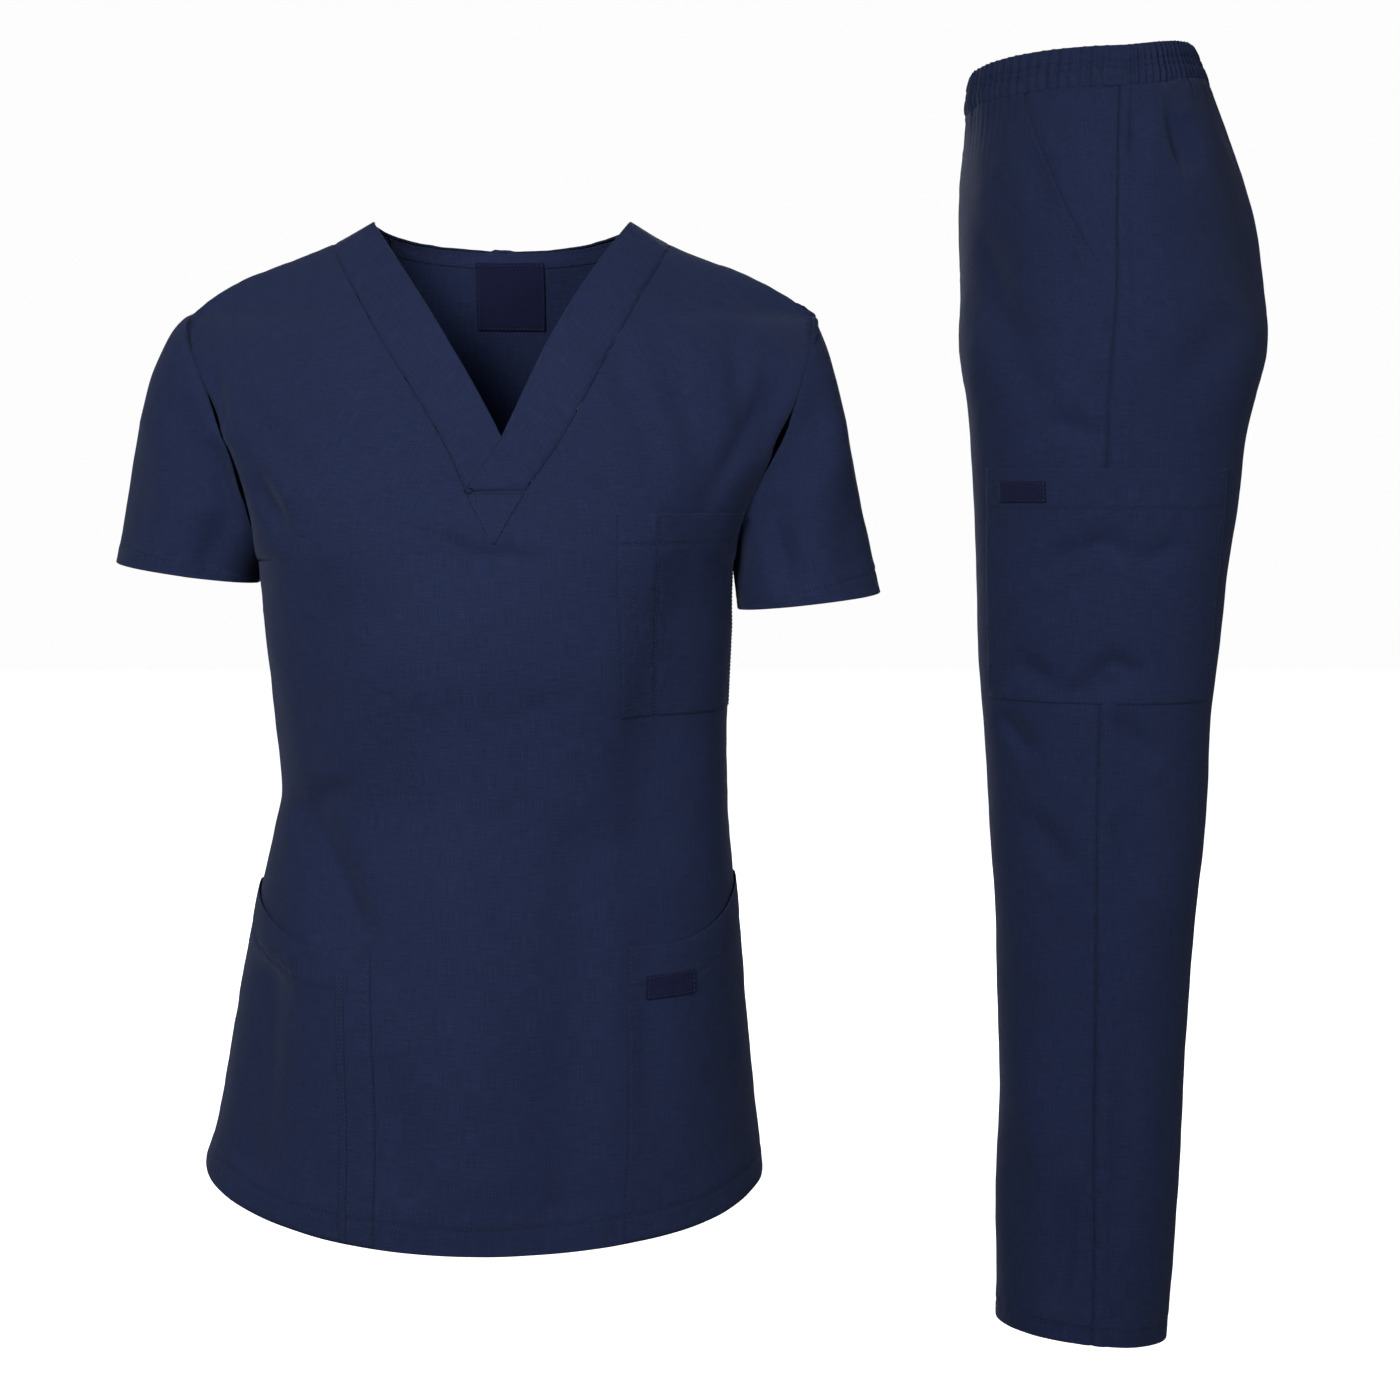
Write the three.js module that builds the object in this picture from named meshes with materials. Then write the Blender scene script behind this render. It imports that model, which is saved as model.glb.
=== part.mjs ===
// Medical scrubs, filled out as worn: a V-neck top with short sleeves, turned to face forward, and beside it
// the trousers, turned so that the wearer's left side faces forward. Millimetres, +Z up, -Y is forward.
// The origin is midway between the top's two high shoulder points, where the wearer's shoulders hold it up.
// Each cut piece is a wall of its own, 0.3 mm from the pieces that it is sewn to.
import * as THREE from 'three';
import { mergeVertices } from 'three/addons/utils/BufferGeometryUtils.js';

// Cloth
const CLOTH = 2.0; // thickness of a single panel's wall
const BAND = 2.6; // the neck band is folded cloth, so it is thicker
const PATCH = 1.4; // pockets, the neck tape and the neck triangle
const LABEL = 0.8; // woven labels
const SEAM_GAP = 0.3; // between two pieces at a seam
const LIE_GAP = 0.5; // under a piece that lies on another
const DEEP_CREASE = 0.3; // walls whose normals agree less than this, as under the arm, aren't mitred

// Top, from the high shoulder points
const NECK_HALF = 90; // high shoulder point from the middle
const BAND_AT_SHOULDER = { x: 118, z: -18 }; // where the band's outer seam meets the shoulder seam
const V_POINT = { x: 0, z: -151 }; // the bottom of the V opening
const V_CORNER = { x: 20, z: -186 }; // where the band's outer seam turns to run across
const TRIANGLE_TIP = -221; // lowest point of the triangle under the V
const BACK_NECK_DROP = 14; // the back neck edge lies this far under the high shoulder points
const BACK_NECK_DEPTH = 72; // and this far behind them
const SHOULDER_TIP = { x: 218, z: -65 }; // where shoulder seam and armhole meet
const UNDERARM = -235; // level of the bottom of the armhole
const ARMHOLE_FRONT = 52; // how far the armhole bows forward
const SWELL_BELOW = 50; // how far under the underarm a panel starts to swell towards the armholes
const SWELL_ABOVE = 60; // how far over it the swell is complete
const SWELL_UNTIL = 0.55; // share of the way to the seam from which the armhole's own round edge takes over
const ARMHOLE_BACK = 56; // and back
const SHOULDER_ROUND = 88; // height over which the shoulder rounds from the seam to full depth
const SIDE_HEM = -669; // hem level at the side seams
const FRONT_HEM_DIP = 25; // the rounded hem hangs lower at the front
const BACK_HEM_DIP = 14; // and a little lower at the back
const HEM_TILT = 12; // how much lower the hem hangs at the wearer's left seam than level, and higher at the right
const SHOULDER_OPEN = 55; // degrees of the ring that a chest panel spans each way at the shoulder

// Trousers, in a frame of their own: its origin is midway between the outseams, its -X is the wearer's front
// and its -Y the wearer's left. The frame stands beside the top, turned a little.
const TROUSERS_AT = { x: 455, y: 176, turn: -9.4 };
const WAISTBAND_HEIGHT = 29;
const GATHERS = 52; // waves of cloth round the elastic waist
const GATHER_DEPTH = 1.5; // half the height of one wave
const CROTCH = -120; // level where the four inner seams meet
const RISE_CURVE = 112; // height of the crotch curve
const TROUSER_HEM = -832;
const SLANT_OPEN = 0.39; // share of a front panel's top that the slant pocket's side piece takes
const SLANT_STEP = 5; // the slant opening ends this many rows above the crotch

// Steps in the grids that the walls are made from
const STEPS = {
  torso: 11, armhole: 10, shoulder: 6, band: 7, across: 2, bandWidth: 2, backNeck: 8, sleeve: 6,
  leg: 14, rise: 9, legFront: 11, legBack: 13, slant: 4, gather: 4,
};

// Rings of the torso by level: half its width, its depth in front and behind, the sway of its middle to the
// wearer's left, and its turn to the wearer's left in degrees.
const TORSO = [
  { z: 10, half: 218, front: 20, back: 74, sway: 0, turn: 0 },
  { z: -20, half: 218, front: 44, back: 80, sway: 0, turn: 0 },
  { z: -80, half: 218, front: 72, back: 92, sway: 1, turn: 1 },
  { z: -150, half: 193, front: 100, back: 104, sway: 2, turn: 2.5 },
  { z: -190, half: 174, front: 112, back: 106, sway: -3, turn: 3 },
  { z: -235, half: 166, front: 121, back: 104, sway: -5, turn: 3.5 },
  { z: -294, half: 164, front: 124, back: 99, sway: -4, turn: 4 },
  { z: -350, half: 160.5, front: 119, back: 95, sway: -2.5, turn: 4.2 },
  { z: -398, half: 159, front: 117, back: 95, sway: 0, turn: 4.6 },
  { z: -423, half: 162, front: 119, back: 98, sway: -2, turn: 5 },
  { z: -481, half: 171, front: 128, back: 113, sway: -7, turn: 6 },
  { z: -554, half: 181, front: 138, back: 129, sway: -11, turn: 7.4 },
  { z: -628, half: 192, front: 146, back: 138, sway: -15.5, turn: 9 },
  { z: -669, half: 201, front: 150, back: 141, sway: -19, turn: 9.6 },
  { z: -700, half: 206, front: 152, back: 142, sway: -20, turn: 10 },
];

// The armhole seam's distance from the middle by level.
const ARMHOLE = [
  { z: 10, out: 218 },
  { z: -65, out: 218 },
  { z: -80, out: 216.5 },
  { z: -110, out: 206 },
  { z: -144, out: 195 },
  { z: -177, out: 181 },
  { z: -210, out: 169 },
  { z: -235, out: 166 },
];

// The shoulder line by distance from the middle.
const SHOULDER = [
  { x: 90, z: 0 },
  { x: 118, z: -16 },
  { x: 145, z: -27 },
  { x: 180, z: -41 },
  { x: 204, z: -54 },
  { x: 218, z: -65 },
];

// Sleeve openings: middle, half the width across with its tilt, and half the depth.
const CUFFS = {
  right: { side: -1, x: -225.5, z: -244.5, half: 50, tilt: 7.5, depth: 53, crown: { x: 0.85, z: -0.5 } },
  left: { side: 1, x: 216, z: -265, half: 50.5, tilt: 6, depth: 53, crown: { x: 0.4, z: -0.8 } },
};

// Rings of the trousers by level: the outseam's place, the reach ahead of it and behind it, and in the hips
// half the width across both legs.
const HIPS = [
  { z: 150, seam: 6.5, ahead: 111, behind: 50, side: 133 },
  { z: 109, seam: 5.5, ahead: 116, behind: 69, side: 142 },
  { z: 79, seam: 5, ahead: 117, behind: 82, side: 153 },
  { z: 48, seam: 4.5, ahead: 119, behind: 93, side: 163 },
  { z: 3, seam: 4.5, ahead: 120.5, behind: 105, side: 173 },
  { z: -50, seam: 5, ahead: 119, behind: 111, side: 178 },
  { z: -89, seam: 2.5, ahead: 112.5, behind: 111, side: 178 },
  { z: -120, seam: 1, ahead: 107, behind: 107, side: 176 },
];

// Rings of one leg by level: as above, with the leg's middle and half its width.
const LEG = [
  { z: 150, seam: 6.5, ahead: 111, behind: 50, middle: 88, half: 88 },
  { z: -60, seam: 4.5, ahead: 116, behind: 111, middle: 88, half: 88 },
  { z: -120, seam: 1, ahead: 105, behind: 106, middle: 88, half: 88 },
  { z: -151, seam: 0.5, ahead: 101, behind: 100, middle: 89, half: 86.5 },
  { z: -196, seam: 0, ahead: 97, behind: 97, middle: 89.5, half: 85 },
  { z: -270, seam: -1.5, ahead: 92, behind: 90, middle: 89, half: 82 },
  { z: -345, seam: -2, ahead: 88.5, behind: 82.5, middle: 88.5, half: 78 },
  { z: -421, seam: -2.5, ahead: 82, behind: 80.5, middle: 88, half: 74 },
  { z: -497, seam: -2, ahead: 76.5, behind: 75.5, middle: 88, half: 71 },
  { z: -574, seam: -1, ahead: 74, behind: 69, middle: 88, half: 68 },
  { z: -651, seam: -0.5, ahead: 73, behind: 65, middle: 89, half: 66 },
  { z: -730, seam: 0.5, ahead: 74.5, behind: 61, middle: 90, half: 64 },
  { z: -840, seam: 0.5, ahead: 74, behind: 55, middle: 92, half: 62 },
];

// The largest soft folds. Each runs from one point to another of the face named, as seen square on, and sinks
// (or stands, below zero) by its depth. On the trousers x is measured in their own frame.
const TOP_FOLDS = [
  { face: 'front', x: -150, z: -200, toX: -128, toZ: -290, width: 16, depth: 4.5 },
  { face: 'front', x: -128, z: -290, toX: -142, toZ: -385, width: 17, depth: 5 },
  { face: 'front', x: -66, z: -215, toX: 42, toZ: -240, width: 15, depth: 2.2 },
  { face: 'front', x: 146, z: -215, toX: 100, toZ: -420, width: 24, depth: 4 },
  { face: 'front', x: -132, z: -405, toX: -110, toZ: -478, width: 13, depth: 3.5 },
  { face: 'front', x: -30, z: -330, toX: -12, toZ: -640, width: 34, depth: -4 },
  { face: 'front', x: 60, z: -430, toX: 48, toZ: -660, width: 22, depth: 3.5 },
  { face: 'front', x: -158, z: -520, toX: -172, toZ: -640, width: 14, depth: 3.5 },
  { face: 'back', x: -110, z: -180, toX: -60, toZ: -380, width: 26, depth: 4.5 },
  { face: 'back', x: 118, z: -190, toX: 84, toZ: -400, width: 24, depth: 4.5 },
  { face: 'back', x: -90, z: -392, toX: 70, toZ: -372, width: 20, depth: 4 },
  { face: 'back', x: -70, z: -430, toX: -96, toZ: -640, width: 24, depth: 5 },
  { face: 'back', x: 40, z: -420, toX: 58, toZ: -650, width: 26, depth: 5 },
  { face: 'back', x: 130, z: -420, toX: 150, toZ: -610, width: 20, depth: 4 },
];
const TROUSER_FOLDS = [
  { face: 'left', x: -84, z: 0, toX: -30, toZ: -95, width: 16, depth: 4 },
  { face: 'left', x: 34, z: 80, toX: 56, toZ: 10, width: 11, depth: 4 },
  { face: 'left', x: 68, z: 66, toX: 96, toZ: 10, width: 11, depth: 3.5 },
  { face: 'left', x: -62, z: -285, toX: -8, toZ: -235, width: 12, depth: 3 },
  { face: 'left', x: -6, z: -235, toX: 30, toZ: -265, width: 12, depth: 3 },
  { face: 'left', x: -70, z: -350, toX: -42, toZ: -395, width: 13, depth: 4 },
  { face: 'left', x: 4, z: -366, toX: 46, toZ: -404, width: 13, depth: 4 },
  { face: 'left', x: -22, z: -600, toX: -52, toZ: -780, width: 15, depth: 5 },
  { face: 'right', x: -80, z: -10, toX: -26, toZ: -100, width: 16, depth: 4 },
  { face: 'right', x: 40, z: 78, toX: 66, toZ: 6, width: 12, depth: 4 },
  { face: 'right', x: -64, z: -330, toX: 30, toZ: -300, width: 15, depth: 4 },
  { face: 'right', x: -50, z: -410, toX: 40, toZ: -440, width: 15, depth: 4 },
  { face: 'right', x: -10, z: -600, toX: -36, toZ: -770, width: 15, depth: 5 },
];

const COLOURS = { cloth: 0x23294a, label: 0x1b2038, tape: 0x2a3157 };

const radians = THREE.MathUtils.degToRad;
const clamp = THREE.MathUtils.clamp;
const lerp = THREE.MathUtils.lerp;
const smooth = (value, low, high) => THREE.MathUtils.smoothstep(value, low, high);
const point = (x, y, z) => new THREE.Vector3(x, y, z);

// Reads one column of a table at a level between its rows, on a smooth curve through them.
function read(table, key, name, at) {
  const rising = table[0][key] < table[table.length - 1][key] ? 1 : -1;
  const last = table.length - 1;
  let row = 0;
  while (row < last - 1 && rising * (at - table[row + 1][key]) > 0) row += 1;
  const slope = (k) => {
    const before = table[Math.max(0, k - 1)];
    const after = table[Math.min(last, k + 1)];
    return (after[name] - before[name]) / (after[key] - before[key]);
  };
  const from = table[row];
  const to = table[row + 1];
  const span = to[key] - from[key];
  const t = clamp((at - from[key]) / span, 0, 1);
  const rise = 3 * t * t - 2 * t * t * t;
  const start = slope(row) * span * (t - 2 * t * t + t * t * t);
  const end = slope(row + 1) * span * (t * t * t - t * t);
  return lerp(from[name], to[name], rise) + start + end;
}

// Raises the size of a sine or cosine to a power, so that a ring becomes a little squarer than an ellipse.
const RING_POWER = 0.92;
const squared = (value, power = RING_POWER) => Math.sign(value) * Math.abs(value) ** power;

// Torso surface

// Degrees that a panel spans each way from its middle line at a level: to the side seam, or to the armhole.
const spanAt = (z) => lerp(90, SHOULDER_OPEN, smooth(z, UNDERARM, UNDERARM + 110));

// The seam that bounds a panel at the side: distance from the middle, and forward or backward of it. The swell is
// what the panel itself takes of that bow: it sets in softly below the underarm.
function edgeAt(z, isFront) {
  const reach = isFront ? ARMHOLE_FRONT : ARMHOLE_BACK;
  const swell = reach * smooth(z, UNDERARM - SWELL_BELOW, UNDERARM + SWELL_ABOVE);
  if (z <= UNDERARM) return { out: read(TORSO, 'z', 'half', z), bow: 0, swell };
  const middle = (UNDERARM + SHOULDER_TIP.z) / 2;
  const high = (SHOULDER_TIP.z - UNDERARM) / 2;
  const round = Math.sqrt(Math.max(0, 1 - ((z - middle) / high) ** 2)) ** 0.9;
  const bow = z > SHOULDER_TIP.z ? 0 : reach * round;
  return { out: read(ARMHOLE, 'z', 'out', z), bow, swell: z < middle ? swell : bow };
}

// The line that the shoulder seams lie on, carried on across the neck: its height and its depth behind.
function ridgeAt(x, isFront) {
  const away = Math.abs(x);
  if (away >= NECK_HALF) return { z: read(SHOULDER, 'x', 'z', away), y: 0 };
  const round = isFront ? 0 : Math.sqrt(1 - (away / NECK_HALF) ** 2);
  return { z: -BACK_NECK_DROP * round, y: BACK_NECK_DEPTH * round };
}

// A point of the front or back surface. across runs from -1 at the wearer's right seam to 1 at the left one.
function torsoPoint(across, z, isFront) {
  const edge = edgeAt(z, isFront);
  const span = radians(spanAt(z));
  const angle = across * span;
  const x = edge.out * squared(Math.sin(angle)) / squared(Math.sin(span));
  const full = read(TORSO, 'z', isFront ? 'front' : 'back', z);
  const bulge = (squared(Math.cos(angle)) - squared(Math.cos(span))) / (1 - squared(Math.cos(span)));
  const bow = lerp(edge.swell, edge.bow, smooth(Math.abs(across), SWELL_UNTIL, 1));
  const depth = bow + (full - bow) * bulge;
  const ridge = ridgeAt(x, isFront);
  const fall = clamp((ridge.z - z) / SHOULDER_ROUND, 0, 1);
  const rounding = Math.sqrt(1 - (1 - fall) ** 2);
  const onSeam = Math.abs(across) > 0.9999;
  const local = onSeam ? depth : ridge.y + (depth - ridge.y) * rounding;
  return twisted(x, isFront ? -local : local, z);
}

// Turns and sways a ring of the torso as the filled top does.
function twisted(x, y, z) {
  const turn = radians(read(TORSO, 'z', 'turn', z));
  const sway = read(TORSO, 'z', 'sway', z);
  return point(sway + x * Math.cos(turn) - y * Math.sin(turn), x * Math.sin(turn) + y * Math.cos(turn), z);
}

// The share of the way from the middle to the side seam at which a point lies x from the middle.
function acrossAt(x, z, isFront) {
  const edge = edgeAt(z, isFront);
  const span = radians(spanAt(z));
  const sine = squared(x / edge.out * squared(Math.sin(span)), 1 / RING_POWER);
  return Math.asin(clamp(sine, -1, 1)) / span;
}

// The band's outer seam and the V's edge at a share of the way from shoulder to the bottom of the V.
const seamLine = (t) => ({
  x: lerp(BAND_AT_SHOULDER.x, V_CORNER.x, t),
  z: lerp(BAND_AT_SHOULDER.z, V_CORNER.z, t),
});
const openLine = (t) => ({
  x: lerp(NECK_HALF, V_POINT.x, t) - 5 * Math.sin(Math.PI * t),
  z: lerp(0, V_POINT.z, t),
});

// The top ends of a front panel's columns, from the wearer's right to the left.
function frontTops() {
  const half = [];
  for (let k = 0; k <= STEPS.shoulder; k += 1) {
    const x = lerp(SHOULDER_TIP.x, BAND_AT_SHOULDER.x, k / STEPS.shoulder);
    half.push({ x, z: ridgeAt(x, true).z });
  }
  for (let k = 1; k <= STEPS.band; k += 1) half.push(seamLine(k / STEPS.band));
  return mirroredTops(half, { x: 0, z: V_CORNER.z });
}

// The top ends of the back panel's columns: shoulder seams, ends of the band, and the back neck edge.
function backTops() {
  const half = [];
  for (let k = 0; k <= STEPS.shoulder; k += 1) {
    const x = lerp(SHOULDER_TIP.x, BAND_AT_SHOULDER.x, k / STEPS.shoulder);
    half.push({ x, z: ridgeAt(x, false).z });
  }
  for (let k = 1; k <= STEPS.bandWidth; k += 1) half.push(bandEnd(k / STEPS.bandWidth));
  for (let k = 1; k < STEPS.backNeck / 2; k += 1) {
    const x = NECK_HALF * Math.cos(Math.PI * k / STEPS.backNeck);
    half.push({ x, z: ridgeAt(x, false).z });
  }
  return mirroredTops(half, { x: 0, z: -BACK_NECK_DROP });
}

// The end of the neck band on the shoulder seam, from its outer seam to the neck opening.
function bandEnd(t) {
  const x = lerp(BAND_AT_SHOULDER.x, NECK_HALF, t);
  return { x, z: ridgeAt(x, false).z };
}

// All the column ends of a panel, from those of one half and the one in the middle.
function mirroredTops(half, middle) {
  const right = half.map((top) => ({ x: -top.x, z: top.z }));
  return [...right, middle, ...half.reverse()];
}

// A grid of points on the cloth's outer face, its columns running across and its rows running up.
// place takes a column's and a row's number. A closed grid's last column meets its first.
function makeGrid(name, columns, rows, place, closed = false) {
  const points = [];
  for (let j = 0; j <= rows; j += 1) {
    const row = [];
    for (let i = 0; i <= (closed ? columns - 1 : columns); i += 1) row.push(place(i, j));
    points.push(row);
  }
  return { name, columns, rows, closed, points };
}

// Height of a torso panel's row. Rows are even below the armhole and crowd to its ends beside it.
function torsoLevel(row, top, across, isFront) {
  const dip = isFront ? FRONT_HEM_DIP : BACK_HEM_DIP;
  const hem = SIDE_HEM - dip * Math.cos(radians(90 * across)) ** 1.5 - HEM_TILT * across;
  if (row <= STEPS.torso) return lerp(hem, UNDERARM, row / STEPS.torso);
  const t = (row - STEPS.torso) / STEPS.armhole;
  const even = Math.sin(Math.PI * t / 2);
  const crowded = (1 - Math.cos(Math.PI * t)) / 2;
  return lerp(UNDERARM, top.z, lerp(even, crowded, Math.abs(across) ** 3));
}

function torsoPanel(name, tops, isFront) {
  const columns = tops.length - 1;
  const shares = tops.map((top, k) => {
    if (k === 0) return -1;
    if (k === columns) return 1;
    return acrossAt(top.x, top.z, isFront);
  });
  // The back is walked the other way round, so that its outer face also looks outwards.
  const order = (i) => (isFront ? i : columns - i);
  const place = (i, j) => {
    const k = order(i);
    return torsoPoint(shares[k], torsoLevel(j, tops[k], shares[k], isFront), isFront);
  };
  const grid = makeGrid(name, columns, STEPS.torso + STEPS.armhole, place);
  grid.shares = shares;
  grid.tops = tops;
  grid.isFront = isFront;
  return grid;
}

// Column of a torso panel, with its fraction, at a share across.
function torsoColumn(grid, across) {
  let k = 0;
  while (k < grid.columns - 1 && grid.shares[k + 1] < across) k += 1;
  return k + clamp((across - grid.shares[k]) / (grid.shares[k + 1] - grid.shares[k]), 0, 1);
}

// Level at which a row of a torso panel's grid crosses a share across.
function gridLevel(grid, across, row) {
  const u = torsoColumn(grid, across);
  const k = Math.min(Math.floor(u), grid.columns - 1);
  const levelOf = (i) => torsoLevel(row, grid.tops[i], grid.shares[i], grid.isFront);
  return lerp(levelOf(k), levelOf(k + 1), u - k);
}

// Column and row of a torso panel, with fractions, that lie at a share across and a level.
function torsoWhere(grid, across, z) {
  const u = torsoColumn(grid, across);
  let row = 0;
  while (row < grid.rows - 1 && gridLevel(grid, across, row + 1) < z) row += 1;
  const low = gridLevel(grid, across, row);
  const v = row + clamp((z - low) / (gridLevel(grid, across, row + 1) - low), 0, 1);
  return { u: grid.isFront ? u : grid.columns - u, v };
}

// Neck band pieces. The left one laps over and ends in a point at the far seam; the right one ends under it.
function neckBand(name, side) {
  const laps = side > 0;
  const columns = STEPS.band + (laps ? STEPS.across : 0);
  const seamAt = (k) => {
    if (k > STEPS.band) return { x: V_CORNER.x * (1 - 2 * (k - STEPS.band) / STEPS.across), z: V_CORNER.z };
    return k === 0 ? bandEnd(0) : seamLine(k / STEPS.band);
  };
  const openAt = (k) => {
    if (k <= STEPS.band) return k === 0 ? bandEnd(1) : openLine(k / STEPS.band);
    // The lapping band's crossing edge stays clear of the end of the band under it.
    const t = 0.95 * (k - STEPS.band) / STEPS.across;
    return { x: lerp(V_POINT.x, -V_CORNER.x, t) + 2 * SEAM_GAP, z: lerp(V_POINT.z, V_CORNER.z, t) - SEAM_GAP };
  };
  const place = (i, j) => {
    const k = laps ? columns - i : i;
    const seam = seamAt(k);
    const open = openAt(k);
    const t = j / STEPS.bandWidth;
    const x = lerp(seam.x, open.x, t);
    const z = k === 0 ? bandEnd(t).z : lerp(seam.z, open.z, t);
    return torsoPoint(acrossAt(side * x, z, true), z, true);
  };
  return makeGrid(name, columns, STEPS.bandWidth, place);
}

// A sleeve: a tube from the armhole's loop to the cuff. Its columns start at the underarm.
function sleeve(name, cuff) {
  const around = 2 * STEPS.armhole;
  const side = cuff.side;
  const start = (i) => {
    const isFront = i <= STEPS.armhole;
    const step = isFront ? i : around - i;
    const z = torsoLevel(STEPS.torso + step, SHOULDER_TIP, 1, true);
    return torsoPoint(side, z, isFront);
  };
  const place = (i, j) => {
    // Both sleeves are walked anticlockwise as seen from above.
    const k = side > 0 ? i : (around - i) % around;
    const from = start(k);
    const angle = Math.PI * k / STEPS.armhole;
    const up = (1 - Math.cos(angle)) / 2;
    const to = point(
      cuff.x - side * cuff.half * Math.cos(angle),
      2 - cuff.depth * Math.sin(angle),
      cuff.z - cuff.tilt * Math.cos(angle),
    );
    const reach = from.distanceTo(to);
    const leave = point(side * lerp(0.34, cuff.crown.x, up), 0, lerp(-1, cuff.crown.z, up))
      .normalize().multiplyScalar(0.7 * reach);
    const arrive = point(side * lerp(0.1, 0.28, up), 0, -0.96).normalize().multiplyScalar(0.7 * reach);
    const t = 1 - j / STEPS.sleeve;
    const bend = t * t * (3 - 2 * t);
    return from.clone().lerp(to, bend)
      .addScaledVector(leave, t * (1 - t) ** 2)
      .addScaledVector(arrive, -t * t * (1 - t));
  };
  return makeGrid(name, around, STEPS.sleeve, place, true);
}

// Trousers surface

// Level of the waist seam at an angle from the front.
const waistSeam = (angle) => 98 + 2 * Math.sin(angle) ** 2 + 15 * clamp(-Math.cos(angle), 0, 1) ** 1.5;

// A point of one half of the hips. angle runs from the front through the outseam to the back.
function hipPoint(angle, z) {
  const reach = read(HIPS, 'z', Math.cos(angle) > 0 ? 'ahead' : 'behind', z);
  const x = read(HIPS, 'z', 'seam', z) - reach * squared(Math.cos(angle));
  return { x, y: -read(HIPS, 'z', 'side', z) * squared(Math.sin(angle)) };
}

// A point of one leg. angle runs from the inseam at -90 through the front and the outseam.
function legPoint(angle, z) {
  const reach = read(LEG, 'z', Math.cos(angle) > 0 ? 'ahead' : 'behind', z);
  const x = read(LEG, 'z', 'seam', z) - reach * squared(Math.cos(angle));
  return { x, y: -read(LEG, 'z', 'middle', z) - read(LEG, 'z', 'half', z) * squared(Math.sin(angle)) };
}

// How far a level has gone over from the hips' ring to the leg's.
function legShare(z) {
  const t = clamp((CROTCH + RISE_CURVE - z) / RISE_CURVE, 0, 1);
  return lerp(1 - Math.sqrt(1 - t * t), t ** 3, 0.4);
}

// Keeps the silhouette full where the hips' ring goes over to the leg's.
function fullness(share) {
  let widest = 0;
  for (let k = 0; k <= 24; k += 1) {
    const angle = Math.PI * k / 48;
    widest = Math.max(widest, (1 - share) * Math.sin(angle) + share * Math.sin(2 * angle));
  }
  return 1 / widest;
}

// A point of a leg panel. inward runs from 0 at the outseam to 1 at the centre seam or the inseam.
function trouserPoint(inward, z, isFront, side) {
  const sign = isFront ? -1 : 1;
  const share = legShare(z);
  const hip = hipPoint(Math.PI / 2 + sign * Math.PI / 2 * inward, z);
  const leg = legPoint(Math.PI / 2 + sign * Math.PI * inward, z);
  const seam = lerp(read(HIPS, 'z', 'seam', z), read(LEG, 'z', 'seam', z), share);
  const x = seam + (lerp(hip.x, leg.x, share) - seam) * fullness(share);
  const y = inward === 1 && z >= CROTCH ? 0 : lerp(hip.y, leg.y, share);
  return point(x, side * y, z);
}

// Share of the way to the centre at which a front panel starts, so as to leave the slant pocket's side piece.
function slantAt(row) {
  const step = row - STEPS.leg - SLANT_STEP;
  if (step < 0) return 0;
  return Math.max(0.006, SLANT_OPEN * step / (STEPS.rise - SLANT_STEP));
}

// Level of a leg panel's row: even down the leg, crowded at the crotch.
function trouserLevel(row, inward, isFront) {
  if (row <= STEPS.leg) return lerp(TROUSER_HEM, CROTCH, row / STEPS.leg);
  const angle = Math.PI / 2 + (isFront ? -1 : 1) * Math.PI / 2 * inward;
  return lerp(CROTCH, waistSeam(angle), ((row - STEPS.leg) / STEPS.rise) ** 1.8);
}

// side is 1 for the wearer's left leg, which faces forward, and -1 for the right.
function legPanel(name, isFront, side) {
  const columns = isFront ? STEPS.legFront : STEPS.legBack;
  const rows = STEPS.leg + STEPS.rise;
  const reversed = isFront === (side > 0);
  const place = (i, j) => {
    const k = reversed ? columns - i : i;
    const first = isFront ? slantAt(j) : 0;
    const inward = lerp(first, 1, k / columns);
    return trouserPoint(inward, trouserLevel(j, inward, isFront), isFront, side);
  };
  const grid = makeGrid(name, columns, rows, place);
  Object.assign(grid, { isFront, side, reversed });
  return grid;
}

// The piece of hip that shows behind the slant pocket's opening.
function slantPiece(name, side) {
  const place = (i, j) => {
    const row = STEPS.leg + SLANT_STEP + j;
    const k = side > 0 ? STEPS.slant - i : i;
    const inward = slantAt(row) * k / STEPS.slant;
    return trouserPoint(inward, trouserLevel(row, inward, true), true, side);
  };
  return makeGrid(name, STEPS.slant, STEPS.rise - SLANT_STEP, place);
}

// Column and row of a leg panel, with fractions, at a share inward and a level below the crotch.
function legWhere(grid, inward, z) {
  const u = inward * grid.columns;
  const v = clamp((z - TROUSER_HEM) / (CROTCH - TROUSER_HEM), 0, 1) * STEPS.leg;
  return { u: grid.reversed ? grid.columns - u : u, v };
}

// The gathered waistband: a ring of cloth waves round a flat elastic.
function waistband(name) {
  const columns = GATHERS * STEPS.gather;
  const rows = 2;
  const place = (i, j) => {
    // Gathers crowd a little towards the back.
    const turn = 2 * Math.PI * i / columns;
    const angle = turn - 0.16 * Math.sin(turn);
    const z = waistSeam(angle) + 2 * SEAM_GAP + WAISTBAND_HEIGHT * j / rows;
    const hip = hipPoint(angle, z);
    const wave = Math.cos(2 * Math.PI * i / STEPS.gather) * GATHER_DEPTH;
    const bulge = 1.5 * (1 - Math.abs(2 * j / rows - 1));
    const away = point(hip.x, hip.y, 0).normalize().multiplyScalar(wave + bulge);
    return point(hip.x + away.x, hip.y + away.y, z);
  };
  return makeGrid(name, columns, rows, place, true);
}

// Walls

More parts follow.
